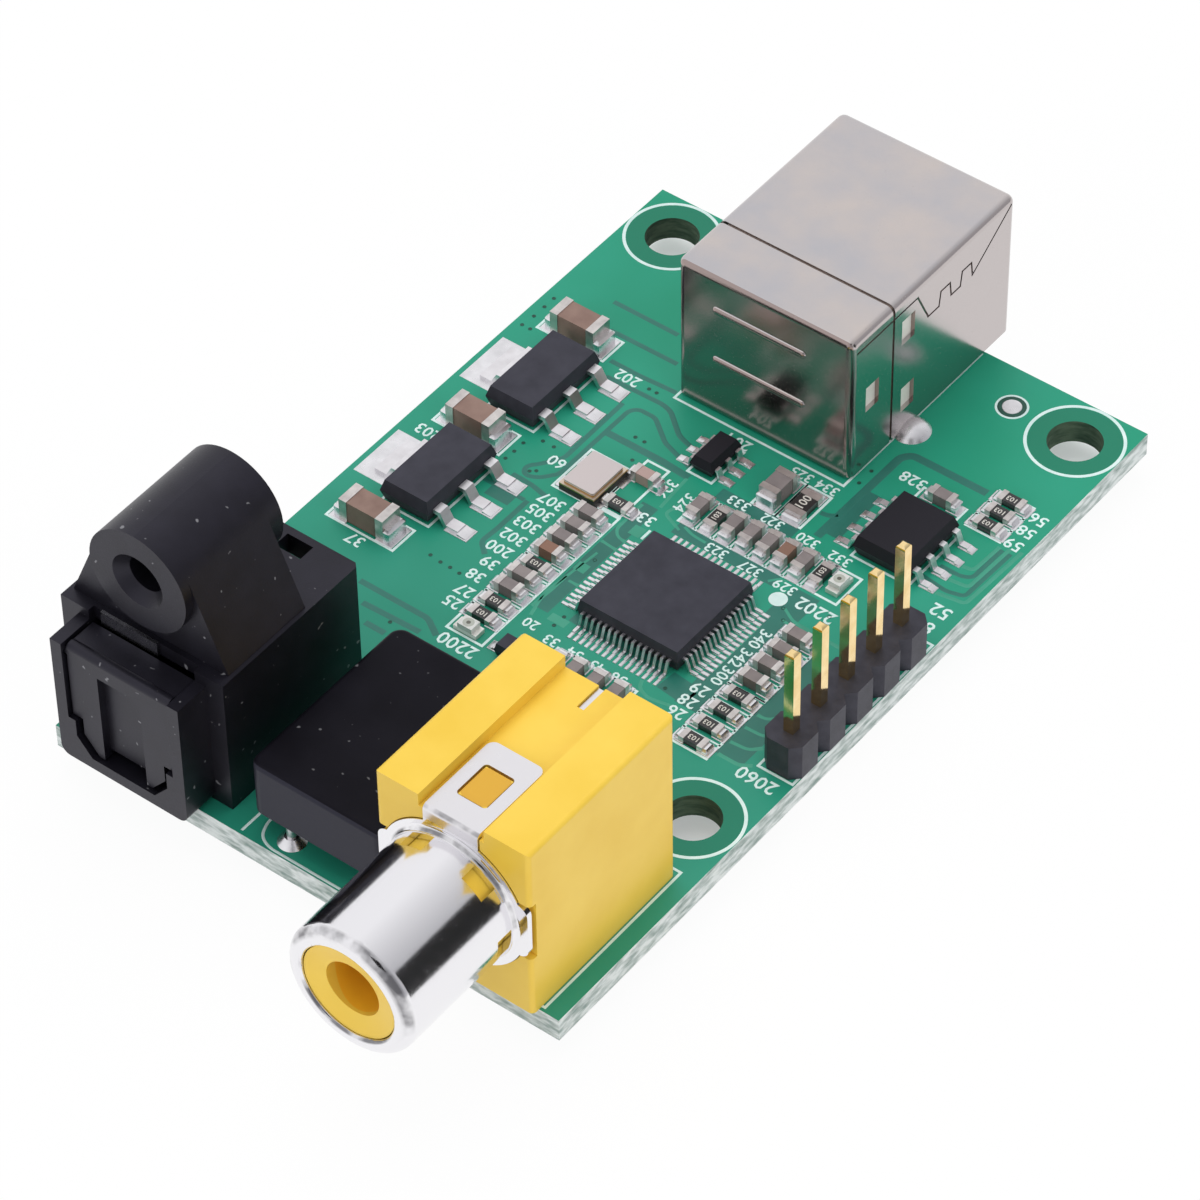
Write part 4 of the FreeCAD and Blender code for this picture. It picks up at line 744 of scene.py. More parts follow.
def start_bar(name, length, width, foot, top):
    """A block along x from the origin, centred on y, in millimetres."""
    return start_block(name, Vector((0, -width / 2, foot)) * MM, Vector((length, width / 2, top)) * MM)


def model_pad(length, width):
    """A pad with soft upper edges."""
    pad = start_bar("pad", length, width, -SINK, PAD_TOP)
    soften_top(pad, 0.8 * PAD_TOP * MM, PAD_BEVEL, 2)
    return pad


def model_fillet(length, width, height):
    """A hollow wedge of solder."""
    wedge = start_bar("fillet", length, width, 0, height)
    choose(wedge, "EDGE", lambda middle, way: abs(way.z) > 0.9 and middle.x > length / 2 * MM)
    bpy.ops.mesh.bevel(offset=0.3 * min(width, length) * MM, segments=2, affect="EDGES")
    choose(wedge, "EDGE", lambda middle, way: abs(middle.z - height * MM) < 1e-6 and middle.x > 1e-6)
    bpy.ops.mesh.bevel(offset=0.92 * min(length, height) * MM, segments=4, profile=HOLLOW,
                       affect="EDGES", clamp_overlap=True)
    take(wedge)
    bpy.ops.object.shade_smooth_by_angle(angle=SMOOTH_ANGLE)
    return wedge


def model_ramp(length, width, height):
    """A low ramp of solder that falls away."""
    ramp = start_bar("ramp", length, width, 0, height)
    choose(ramp, "EDGE", lambda middle, way: middle.z > 0.9 * height * MM
           and middle.x > 0.9 * length * MM)
    bpy.ops.transform.translate(value=(0, 0, -RAMP_FALL * height * MM))
    choose(ramp, "EDGE", lambda middle, way: middle.z > 0.3 * height * MM
           and abs(way.z) < 0.9 and middle.x > 0.01 * MM)
    bpy.ops.mesh.bevel(offset=0.3 * height * MM, segments=2, affect="EDGES")
    take(ramp)
    bpy.ops.object.shade_smooth_by_angle(angle=SMOOTH_ANGLE)
    return ramp


def pattern(model, *sizes):
    """A pattern of one kind and size, modelled when it is first asked for."""
    key = (model, *[round(size, 3) for size in sizes])
    if key not in patterns:
        patterns[key] = model(*sizes)
    return patterns[key]


print("patterns can be modelled")

# %% [markdown]
# The patterns are copied to every end of the small parts. The boxes tell which way an end points:
# from the middle of the part's block to the middle of the end. A copy is turned that way and put at
# the foot of the end's outer face.

# %% Pads and solder fillets at the small parts
# pad beyond the end, pad wider than the end, share of the end that solder climbs, solder's length
SMALL_SOLDER = (0.55, 0.12, 0.75, 0.34)
BULK_SOLDER = (0.70, 0.30, 0.60, 0.45)


def way_out(end, block):
    """The angle about the upright axis that leads out of a part through one end."""
    across = middle_of(end) - middle_of(block)
    if abs(across.x) > abs(across.y):
        return 0.0 if across.x > 0 else math.pi
    return math.pi / 2 if across.y > 0 else -math.pi / 2


def outer_face(end, turn):
    """The direction out of an end, the foot of its outer face, and its length and width that way."""
    out = Vector((math.cos(turn), math.sin(turn), 0))
    side = 0 if abs(out.x) > 0.5 else 1
    size = (end[1] - end[0]) / MM
    face = middle_of(end) + out * size[side] / 2 * MM
    face.z = BOARD_TOP
    return out, face, size[side], size[1 - side]


def end_solder(end, block, beyond, wider, climb, reach):
    """Copies of the pad and the fillet at one end of a part."""
    turn = way_out(end, block)
    out, face, length, width = outer_face(end, turn)
    pad = pattern(model_pad, length + beyond, width + wider)
    wedge = pattern(model_fillet, reach, width, climb * (end[1] - end[0]).z / MM)
    return [copy_of(pad, turn, face - out * length * MM), copy_of(wedge, turn, face)]


solder = []
for name, ends_name in zip(BLOCKS, ENDS):
    amounts = BULK_SOLDER if name.startswith("bulk") else SMALL_SOLDER
    for end in ends[ends_name]:
        block = min(blocks[name], key=lambda box: (middle_of(box) - middle_of(end)).length)
        solder += end_solder(end, block, *amounts)
print("pads and fillets:", len(solder))

# %% [markdown]
# The chips' leads end in flat feet. Each foot lies in solder on a pad that shows beyond its toe.
# The foot's outer end is the far side of the lead's box, seen from the chip's middle, so the pad
# starts under the foot and runs on past the toe, with a low ramp of solder on it. The regulators'
# wide tabs lie on two larger pads, and the oscillator's corners on four small ones.

# %% Pads at the chip leads
LEAD_PADS = [
    # leads, chip, pad beyond the toe, pad under the foot, pad wider than the lead
    ("main_chip_leads", "main_chip_body", 0.50, 0.45, 0.05),
    ("six_lead_chip_leads", "six_lead_chip_body", 0.50, 0.40, 0.14),
    ("eight_lead_chip_leads", "eight_lead_chip_body", 0.40, 0.65, 0.18),
    ("regulator_a_leads", "regulator_a_body", 0.75, 0.90, 0.35),
    ("regulator_b_leads", "regulator_b_body", 0.75, 0.90, 0.35),
    ("diode_leads", "diode_body", 0.35, 0.30, 0.25),
]
WIDEST_FOOT = 2.0
FINE_FOOT = 0.3
TAB_LEFT, TAB_RIGHT = 0.36, 3.3
TAB_SPANS = [(25.3, 29.4), (35.0, 39.1)]
OSCILLATOR_X, OSCILLATOR_Y = 11.98, 32.73
OSCILLATOR_PAD_X, OSCILLATOR_PAD_Y = 0.675, 1.0
OSCILLATOR_PAD = (1.0, 0.95)

for leads, chip, beyond, under, wider in LEAD_PADS:
    chip_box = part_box(chip)
    for lead in boxes_in(leads):
        turn = way_out(lead, chip_box)
        out, toe, _, width = outer_face(lead, turn)
        if width > WIDEST_FOOT:
            continue
        pad = pattern(model_pad, under + beyond, width + wider)
        solder.append(copy_of(pad, turn, toe - out * under * MM))
        if width > FINE_FOOT:
            ramp = pattern(model_ramp, 0.9 * beyond, width + 0.6 * wider, 0.14 + 0.06 * width)
            solder.append(copy_of(ramp, turn, toe))
for y0, y1 in TAB_SPANS:
    tab_pad = start_block("tab_pad", spot(TAB_LEFT, y0, -SINK), spot(TAB_RIGHT, y1, PAD_TOP))
    soften_top(tab_pad, spot(0, 0, 0.8 * PAD_TOP).z, PAD_BEVEL, 2)
    solder.append(tab_pad)
for x in (-OSCILLATOR_PAD_X, OSCILLATOR_PAD_X):
    for y in (-OSCILLATOR_PAD_Y, OSCILLATOR_PAD_Y):
        pad = pattern(model_pad, *OSCILLATOR_PAD)
        place = spot(OSCILLATOR_X + x, OSCILLATOR_Y + y)
        solder.append(copy_of(pad, 0.0 if x > 0 else math.pi, place))
lead_solder = joined(solder, "tinned_pads")
remove(patterns.values())
hand_over(lead_solder, finishes["solder"])

# %% [markdown]
# White ink is printed on the mask: frames round the rows of small parts, outlines of the sockets and
# rings round the screw holes. Ink is a thin flat layer. A frame is a flat face, inset by the width
# of the line, with its middle deleted and a thickness added. A ring is the same with a disc.

# %% White ink frames and rings
INK = 0.014
FRAME_LINE = 0.16
RING_LINE = 0.2
SCREW_HOLES = [(3.0, 15.6), (3.0, 52.0), (32.0, 15.6), (32.0, 52.0)]
SCREW_RING_R = 2.98
TEST_PAD = (27.49, 52.15)
TEST_RING_R = 1.0
prints = []


def open_middle(piece, line, thick=INK + SINK):
    """Insets a one-faced piece by the width of a line, cuts its middle out and thickens it."""
    choose(piece, "FACE", lambda middle, way: True)
    bpy.ops.mesh.inset(thickness=line * MM, use_even_offset=True)
    bpy.ops.mesh.delete(type="FACE")
    apply_solidify(piece, thick * MM)


def ink_frame(x0, y0, x1, y1):
    """A printed rectangle between two corners on the board."""
    let_go()
    middle = spot((x0 + x1) / 2, (y0 + y1) / 2, -SINK)
    bpy.ops.mesh.primitive_plane_add(size=1, location=middle)
    frame_line = bpy.context.object
    frame_line.scale = ((x1 - x0) * MM, (y1 - y0) * MM, 1)
    bpy.ops.object.transform_apply(location=True, rotation=True, scale=True)
    open_middle(frame_line, FRAME_LINE)
    prints.append(frame_line)


def ink_ring(x, y, radius, line, sides):
    """A printed ring on the board."""
    ring = start_disc("ring", spot(x, y, -SINK), radius * MM, sides)
    open_middle(ring, line)
    prints.append(ring)


ROW_FRAMES = [
    # left, front, right and back of each frame
    (12.35, 18.70, 15.02, 31.35), (17.62, 33.10, 28.82, 35.72),
    (27.48, 19.40, 30.08, 24.34), (27.48, 24.70, 30.08, 30.22),
    (18.32, 18.65, 23.98, 21.30), (30.78, 42.62, 33.32, 46.18),
    (20.08, 36.76, 21.92, 39.94), (21.80, 36.76, 23.66, 39.94), (27.20, 42.55, 30.32, 43.80),
    (1.35, 21.48, 6.36, 23.62), (1.35, 31.13, 6.36, 33.27), (1.35, 40.88, 6.36, 43.02),
    (3.12, 24.18, 6.78, 30.64), (3.12, 33.82, 6.78, 40.28),
    (10.18, 31.05, 13.40, 34.85), (13.30, 31.35, 14.98, 36.08),
    (11.38, 40.98, 23.62, 54.80), (32.46, 20.70, 34.94, 33.95),
    (27.06, 36.76, 31.18, 41.90), (15.62, 36.62, 17.48, 39.90),
    (23.34, 0.20, 33.95, 12.15),
]
for x0, y0, x1, y1 in ROW_FRAMES:
    ink_frame(x0, y0, x1, y1)
for x, y in SCREW_HOLES:
    ink_ring(x, y, SCREW_RING_R, RING_LINE, 64)
ink_ring(*TEST_PAD, TEST_RING_R, FRAME_LINE, 40)
print("ink frames and rings:", len(prints))

# %% [markdown]
# Between neighbours in a row the ink shows a short tick. Straight ticks are thin blocks whose
# upper edges are softened, modelled once and copied to each gap in a row.

# %% Ticks between the cells of a row
TICK_HALF = 1.3
TICK_LINE_HALF = 0.06
LONGEST_STEP = 1.6
OUT_OF_LINE = 0.05

tick_low = Vector((-TICK_HALF, -TICK_LINE_HALF, -SINK))
tick = start_block("tick", tick_low * MM, Vector((TICK_HALF, TICK_LINE_HALF, INK)) * MM)
soften_top(tick, 0.5 * INK * MM, 0.006, 1)
small = sorted(blocks["small_capacitors"] + blocks["small_resistors"], key=lambda box: middle_of(box).y)
ticks = 0
for first in small:
    size = first[1] - first[0]
    lies_across = size.x > size.y
    step = Vector((0, 1, 0)) if lies_across else Vector((1, 0, 0))
    beside = Vector((1, 0, 0)) if lies_across else Vector((0, 1, 0))
    for second in small:
        gap = middle_of(second) - middle_of(first)
        in_row = 0 < gap.dot(step) < LONGEST_STEP * MM and abs(gap.dot(beside)) < OUT_OF_LINE * MM
        if in_row and abs((second[1] - second[0]).x - size.x) < 0.1 * MM:
            between = (middle_of(first) + middle_of(second)) / 2
            between.z = BOARD_TOP
            prints.append(copy_of(tick, 0 if lies_across else math.pi / 2, between))
            ticks += 1
remove([tick])
print("ticks:", ticks)

# %% [markdown]
# Small numbers beside the parts help whoever fits them. A text object gives the outline of a
# number, and turning it into a mesh makes it a printed piece like the others. On this board the
# print is read from the back, so the numbers are turned by half a circle.

# %% Printed numbers
BOLDER = 0.012


def ink_number(text, x, y, size, turn, z=0.0, thick=INK):
    """A printed number, centred on a place and lying on a face z millimetres above the board."""
    let_go()
    bpy.ops.object.text_add(location=(0, 0, 0))
    label = bpy.context.object
    label.data.body = text
    label.data.size = size * MM
    label.data.align_x = "CENTER"
    label.data.align_y = "CENTER"
    label.data.resolution_u = 2
    label.data.extrude = (thick + SINK) / 2 * MM
    label.data.offset = BOLDER * size * MM
    bpy.ops.object.convert(target="MESH")
    label = bpy.context.object
    label.location = spot(x, y, z + (thick - SINK) / 2)
    label.rotation_euler = (0, 0, turn)
    bpy.ops.object.transform_apply(location=True, rotation=True, scale=True)
    return label


NUMBERS = [
    ("307", 11.05, 30.10), ("305", 11.05, 29.00), ("303", 11.05, 27.80),
    ("302", 11.05, 26.55), ("200", 11.00, 25.35),
    ("39", 11.25, 24.15), ("38", 11.25, 22.90), ("27", 11.50, 21.60), ("25", 11.50, 20.50),
    ("202", 8.30, 40.75), ("203", 1.85, 30.30), ("60", 9.30, 32.80),
    ("37", 4.05, 21.00), ("204", 16.60, 40.35),
    ("328", 26.45, 43.85), ("56", 33.95, 45.50), ("58", 33.95, 44.30),
    ("59", 33.95, 43.05), ("330", 15.90, 32.20),
    ("29", 26.58, 23.45), ("28", 26.58, 22.35), ("26", 26.58, 21.30),
]
SMALL_NUMBERS = [
    ("333", 19.60, 36.40), ("322", 22.00, 36.35), ("320", 24.50, 36.35), ("332", 26.80, 36.25),
    ("323", 20.85, 32.60), ("327", 23.26, 32.60), ("329", 25.65, 32.60),
    ("325", 21.10, 40.40), ("334", 22.90, 40.40),
    ("20", 16.05, 21.80), ("33", 17.75, 21.45), ("34", 19.40, 21.45),
    ("43", 21.00, 21.40), ("36", 22.50, 21.40),
]
SIDE_NUMBERS = [
    ("340", 26.90, 28.50), ("342", 26.90, 26.70), ("300", 26.90, 25.00),
    ("326", 15.60, 34.80), ("324", 17.10, 34.55),
]
LARGE_NUMBERS = [
    ("2060", 33.10, 19.90), ("2200", 13.80, 18.05), ("2202", 28.10, 32.15), ("52", 33.70, 36.30),
    ("8", 33.90, 34.85),
]
PRINT_SIZES = [
    # numbers, size and turn
    (NUMBERS, 1.15, math.pi), (SMALL_NUMBERS, 1.0, math.pi),
    (SIDE_NUMBERS, 1.05, -math.pi / 2), (LARGE_NUMBERS, 1.3, math.pi),
]
labels = [ink_number(text, x, y, size, turn)
          for numbers, size, turn in PRINT_SIZES for text, x, y in numbers]
prints += labels
print("numbers:", len(labels))

# %% [markdown]
# A round ink dot marks the first lead of the large chip. A disc, raised and with its rim pulled in
# a little, looks like a drop of ink that dried.

# %% Ink dot
FIRST_LEAD_MARK = (25.9, 31.6)
DOT_R = 0.55

dot = start_disc("dot", spot(*FIRST_LEAD_MARK, -SINK), DOT_R * MM, 32)
apply_solidify(dot, (INK + SINK) * MM)
soften_top(dot, spot(0, 0, INK / 2).z, 0.01, 1)
prints.append(dot)
print("printed pieces:", len(prints))

# %% [markdown]
# All the ink shares one finish: an off-white that covers the mask not quite evenly.

# %% Join the print
finishes["ink"] = grained_finish(
    "white_ink", (206, 232, 228), (226, 244, 241), (0.45, 0.65), 0.12, 0.8, 0.2, 0.004)
board_print = joined(prints, "white_print")
hand_over(board_print, finishes["ink"])

# %% [markdown]
# Under the mask lies a sheet of copper, cut by narrow gaps into areas and tracks. The gaps show as
# darker lines and single tracks as lighter ones. A track is drawn as on a board plan: one point,
# extruded from corner to corner, rounded at its corners, turned into a curve with a round section
# and pressed almost flat, so that it is a low ridge under the mask.

# %% A ridge along corners
RIDGE = 0.010
CORNER_ROUND = 0.25


def ridge(points, width, height=RIDGE):
    """A flat ridge along corners on the board, in millimetres."""
    let_go()
    bpy.ops.mesh.primitive_plane_add(size=0.01 * MM, location=spot(*points[0]))
    bpy.ops.object.transform_apply(location=True, rotation=True, scale=True)
    bpy.ops.object.mode_set(mode="EDIT")
    bpy.ops.mesh.select_mode(type="VERT")
    bpy.ops.mesh.select_all(action="SELECT")
    bpy.ops.mesh.merge(type="CENTER")
    for before, after in zip(points, points[1:]):
        step = spot(*after) - spot(*before)
        bpy.ops.mesh.extrude_region_move(TRANSFORM_OT_translate={"value": step})
    if len(points) > 2:
        bpy.ops.mesh.select_all(action="SELECT")
        bpy.ops.mesh.bevel(offset=CORNER_ROUND * MM, segments=3, affect="VERTICES", clamp_overlap=True)
    bpy.ops.object.mode_set(mode="OBJECT")
    bpy.ops.object.convert(target="CURVE")
    line = bpy.context.object
    line.data.bevel_depth = width / 2 * MM
    line.data.bevel_resolution = 1
    line.data.use_fill_caps = True
    bpy.ops.object.convert(target="MESH")
    line = bpy.context.object
    bpy.ops.object.mode_set(mode="EDIT")
    bpy.ops.mesh.select_all(action="SELECT")
    bpy.ops.transform.resize(value=(1, 1, 2 * height / width), center_override=(0, 0, BOARD_TOP))
    bpy.ops.mesh.normals_make_consistent(inside=False)
    let_go()
    return line


print("ridges can be drawn")

# %% [markdown]
# Each line below has a width and the corners that it passes. Wide areas without
# copper and the gaps between areas are dark, and tracks are lighter. Areas are pressed flatter than
# gaps, so that a gap still shows where the two cross.

# %% Gaps and tracks in the copper
AREA_RIDGE = 0.005
AREAS = [
    (1.9, [(26.9, 21.9), (26.9, 32.9)]), (1.5, [(24.6, 22.9), (26.6, 22.7)]),
    (1.5, [(17.6, 24.0), (24.3, 23.6)]),
    (1.1, [(15.72, 23.0), (15.72, 33.2)]), (1.1, [(17.9, 32.75), (25.0, 32.75)]),
    (1.8, [(30.95, 20.2), (30.95, 29.5)]),
    (1.3, [(7.5, 28.95), (9.2, 28.95)]), (0.9, [(18.2, 36.35), (23.6, 36.35)]),
    (1.1, [(25.3, 37.4), (25.3, 41.6)]),
]
GAPS = [
    (0.34, [(3.7, 45.4), (8.45, 45.4)]),
    (0.34, [(5.0, 43.35), (9.9, 43.4)]),
    (0.34, [(6.6, 41.3), (8.76, 41.3), (11.3, 41.45)]),
    (0.34, [(7.2, 40.1), (11.3, 40.2), (12.0, 40.0), (13.6, 38.7), (14.6, 38.4)]),
    (0.32, [(9.35, 38.9), (9.42, 33.3), (8.6, 32.05), (8.15, 31.6), (8.15, 31.1), (8.6, 30.85), (9.3, 31.2),
            (10.0, 32.1), (10.02, 38.6), (10.4, 39.05), (11.6, 39.05), (13.3, 37.75), (15.6, 37.0)]),
    (0.5, [(10.12, 36.42), (14.0, 36.45), (16.1, 36.3)]),
    (0.34, [(7.85, 30.5), (9.3, 30.45), (10.5, 30.2)]),
    (0.34, [(9.9, 29.3), (9.9, 26.5), (9.8, 25.2), (10.6, 24.5)]),
    (0.4, [(6.3, 18.65), (11.2, 18.65), (12.4, 17.9)]),
    (0.4, [(7.5, 17.4), (11.5, 17.55)]),
    (0.4, [(8.6, 16.3), (10.0, 16.3)]),
    (0.55, [(24.72, 36.9), (24.78, 44.9), (25.25, 45.45), (30.4, 45.5)]),
    (0.35, [(23.75, 38.55), (24.25, 38.6), (24.7, 38.95)]),
    (0.3, [(30.9, 38.0), (33.0, 37.75), (34.1, 38.05), (34.25, 42.3)]),
    (0.3, [(31.6, 39.2), (33.0, 39.2), (33.6, 39.5), (33.7, 42.3)]),
    (0.3, [(6.6, 29.2), (9.7, 29.25)]),
]
TRACKS = [
    (0.26, [(32.6, 39.9), (33.3, 40.0), (33.45, 42.4)]),
    (0.26, [(32.6, 38.6), (33.85, 38.75), (34.02, 42.6)]),
    (0.26, [(32.6, 37.3), (34.45, 37.6), (34.7, 42.8)]),
    (0.22, [(23.6, 22.1), (23.85, 21.5), (24.65, 21.2), (27.1, 21.7)]),
    (0.22, [(16.05, 36.2), (16.25, 33.4)]),
    (0.22, [(17.0, 34.2), (16.75, 33.2), (18.2, 32.6)]),
    (0.22, [(15.6, 28.4), (15.3, 25.3), (15.15, 24.2), (15.6, 22.3)]),
    (0.28, [(30.25, 23.8), (30.8, 23.8), (31.2, 24.15), (31.6, 25.1)]),
    (0.28, [(30.25, 22.65), (31.4, 22.7), (32.3, 23.2)]),
    (0.28, [(30.25, 21.3), (31.4, 21.4), (32.0, 22.0)]),
    (0.28, [(30.25, 20.2), (31.7, 20.2), (32.3, 20.6)]),
    (0.24, [(26.6, 31.25), (27.6, 30.7), (31.4, 30.6), (32.4, 29.8)]),
    (0.24, [(27.1, 30.45), (30.8, 29.6), (31.6, 28.0), (32.4, 27.3)]),
    (0.22, [(24.6, 32.4), (25.1, 33.0), (25.4, 32.9)]),
    (0.85, [(16.3, 30.7), (16.3, 31.5)]), (0.9, [(15.65, 26.6), (15.65, 27.3)]),
    (1.2, [(17.1, 22.6), (17.1, 23.2)]),
    (0.24, [(15.3, 33.0), (15.3, 30.6), (15.7, 30.1), (16.4, 30.0)]), (0.24, [(15.2, 29.3), (16.4, 29.2)]),
    (0.24, [(15.35, 25.9), (15.35, 24.6), (15.2, 22.9)]), (0.24, [(15.65, 25.7), (16.4, 25.7)]),
    (0.24, [(18.3, 33.0), (19.0, 32.75), (20.0, 32.7)]), (0.24, [(26.3, 29.4), (26.3, 25.0)]),
]
finishes["gap"] = grained_finish(
    "mask_over_gap", (33, 106, 93), (42, 116, 103), (0.30, 0.42), 0.4, 3.0, 0.15, 0.01)
finishes["track"] = grained_finish(
    "mask_over_track", (50, 146, 119), (60, 155, 129), (0.30, 0.42), 0.4, 3.0, 0.15, 0.01)
bare = [ridge(points, width, AREA_RIDGE) for width, points in AREAS]
gap_lines = joined(bare + [ridge(points, width) for width, points in GAPS], "copper_gaps")
hand_over(gap_lines, finishes["gap"])
track_lines = joined([ridge(points, width) for width, points in TRACKS], "copper_tracks")
hand_over(track_lines, finishes["track"])

# %% [markdown]
# Two printed lines beside the transformer, one of them with a rounded corner, and a short one at
# the large chip are drawn in the same way, with the height and the finish of the ink.

# %% Printed lines
PRINTED_LINE = 0.17
PRINTED_LINES = [
    [(13.90, 3.0), (13.90, 1.5), (14.20, 0.70), (14.65, 0.35), (15.25, 0.18), (22.90, 0.18)],
    [(13.14, 0.25), (13.14, 12.0)],
    [(16.92, 30.75), (16.92, 31.60)],
]
socket_lines = joined([ridge(points, PRINTED_LINE, INK) for points in PRINTED_LINES], "printed_lines")
hand_over(socket_lines, finishes["ink"])

# %% [markdown]
# Vias are plated holes that join the copper on both faces. Under the mask each shows as a small
# dimple with a raised rim. One is a disc, inset, with its middle pushed down, and the rest are copies.
# The same dark green shows in a ring round the bare test pad near the back right screw hole.

# %% Vias
VIAS = [
    (6.8, 32.85), (6.8, 32.0), (7.6, 33.65), (8.4, 33.65), (6.75, 31.25), (8.5, 31.25), (8.8, 31.5),
    (9.85, 40.75), (10.4, 40.75), (11.65, 37.1), (12.3, 37.1), (12.65, 35.5), (8.2, 22.6), (9.0, 22.5),
    (9.7, 22.5), (10.4, 22.45), (9.7, 17.15), (17.15, 22.45), (17.2, 23.3), (15.85, 27.85), (25.0, 22.35),
    (0.7, 42.6), (1.3, 43.2), (0.7, 41.6), (1.2, 40.6), (0.6, 40.6), (1.9, 43.5), (2.5, 43.6), (0.7, 43.5),
    (26.55, 31.2), (27.1, 30.45), (24.1, 43.0), (24.1, 41.8), (30.0, 40.6), (29.0, 32.2),
]
VIA_R = 0.125
VIA_LIFT = 0.004
VIA_RIM = 0.012
VIA_RIM_LINE = 0.036
VIA_DIP = 0.015
VIA_TAPER = 0.8
DARK_RING_R = 0.86
DARK_RING_LINE = 0.3

via = start_disc("via", Vector((0, 0, VIA_LIFT)) * MM, VIA_R * MM, 12)
choose(via, "FACE", lambda middle, way: True)
bpy.ops.mesh.extrude_region_move(TRANSFORM_OT_translate={"value": (0, 0, VIA_RIM * MM)})
bpy.ops.mesh.inset(thickness=VIA_RIM_LINE * MM)
bpy.ops.mesh.extrude_region_move(TRANSFORM_OT_translate={"value": (0, 0, -VIA_DIP * MM)})
bpy.ops.transform.resize(value=(VIA_TAPER, VIA_TAPER, 1), center_override=(0, 0, 0))
let_go()
pad_ring = start_disc("pad_ring", spot(*TEST_PAD, -SINK), DARK_RING_R * MM, 40)
open_middle(pad_ring, DARK_RING_LINE)
vias = joined([copy_of(via, 0, spot(x, y, 0)) for x, y in VIAS] + [pad_ring], "vias")
remove([via])
finishes["via"] = grained_finish(
    "mask_over_via", (14, 66, 53), (24, 82, 68), (0.3, 0.45), 0.2, 0.5, 0.2, 0.008)
hand_over(vias, finishes["via"])

# %% [markdown]
# The small resistors carry a number in pale print on their black glaze, so that a fitter can read
# their value. The same text helper makes a number for every resistor's top, turned with the part.

# %% Numbers on the resistors
MARK_INK = 0.008
SMALL_MARK = 0.5
LARGE_MARK = 0.78


def top_number(text, box, size):
    """A number on the top face of a part, running along it."""
    middle = middle_of(box)
    long_x = (box[1] - box[0]).x > (box[1] - box[0]).y
    place = (middle - corner) / MM
    rise = (box[1].z - BOARD_TOP) / MM
    turn = math.pi if long_x else math.pi / 2
    return ink_number(text, place.x, place.y, size, turn, rise, MARK_INK)


marks = [top_number("103", box, SMALL_MARK) for box in blocks["small_resistors"]]
marks += [top_number("100", box, LARGE_MARK) for box in blocks["large_resistor"]]
finishes["mark"] = grained_finish(
    "pale_mark", (198, 194, 186), (220, 216, 208), (0.4, 0.6), 0.1, 0.5, 0.2, 0.004)
hand_over(joined(marks, "resistor_numbers"), finishes["mark"])

# %% [markdown]
# Near the back right screw hole is a bare test pad, a tinned disc in a ring of ink. A disc, raised
# and with a bevelled rim, is enough. Underneath the board every soldered lead has a tinned ring,
# which is a disc with its middle cut out, put under each solder cone.

# %% Test pad and rings under the board
TEST_PAD_R = 0.6
TEST_PAD_THICK = 0.05
TIN_WIDER = 0.25
TIN_LINE = 0.40
TIN_DROP = 0.03

test_pad = start_disc("test_pad", spot(*TEST_PAD, -SINK), TEST_PAD_R * MM, 40)
apply_solidify(test_pad, TEST_PAD_THICK * MM)
soften_top(test_pad, spot(0, 0, 0.03).z, 0.04, 2)
rings = [test_pad]
for low, high in boxes_in("solder_joints"):
    if low.z < corner.z:
        middle = Vector(((low.x + high.x) / 2, (low.y + high.y) / 2, corner.z - TIN_DROP * MM))
        radius = max(high.x - low.x, high.y - low.y) / 2
        ring = start_disc("ring", middle, radius + TIN_WIDER * MM, 32)
        open_middle(ring, TIN_LINE, TIN_DROP + SINK)
        rings.append(ring)
hand_over(joined(rings, "solder_rings"), finishes["solder"])

# %% [markdown]
# The photograph was taken with a long lens, from in front, to the right and well above. The angles,
# distance and lens below repeat that view. A camera looks along its own minus z, so its three
# axes are worked out from the line of sight and put into a matrix, with a slight roll.

# %% Camera
AZIMUTH = math.radians(38.374)
ELEVATION = math.radians(45.844)
ROLL = math.radians(-0.973)
DISTANCE = 324.271 * MM
LENS = 174.008
SENSOR = 36
target = spot(17.991, 25.552)
level_share = math.cos(ELEVATION)
back = Vector((math.sin(AZIMUTH) * level_share, -math.cos(AZIMUTH) * level_share, math.sin(ELEVATION)))
level = Vector((0, 0, 1)).cross(back).normalized()
rise = back.cross(level)
right = level * math.cos(ROLL) + rise * math.sin(ROLL)
up = rise * math.cos(ROLL) - level * math.sin(ROLL)
turn = Matrix((right, up, back)).transposed().to_4x4()
lens = bpy.data.cameras.new("photo_camera")
lens.lens = LENS
lens.sensor_width = SENSOR
lens.clip_start = 0.01
camera = bpy.data.objects.new("photo_camera", lens)
camera.matrix_world = Matrix.Translation(target + back * DISTANCE) @ turn
bpy.context.collection.objects.link(camera)
bpy.context.scene.camera = camera
bpy.context.scene.view_settings.view_transform = "Standard"
print("camera at", [round(part, 4) for part in camera.location])

# %% [markdown]
# The floor is a wide pale sheet under the lead tips. Seen by the camera, or in a metal part, it is
# nearly white like a studio sweep, and a part of its colour still comes from the real light, so the
# soft shadow of the module stays on it. Right under the board, seen through the screw holes, most of
# it is real light, which is dim there. From below the floor is see-through, so that the underside
# of the board can be looked at.

# %% Floor
FLOOR_SIZE = 6.0
FLOOR_GAP = 0.02
FLOOR_GLOW = 0.95
DIMMED = 0.60
INSET = 2.2

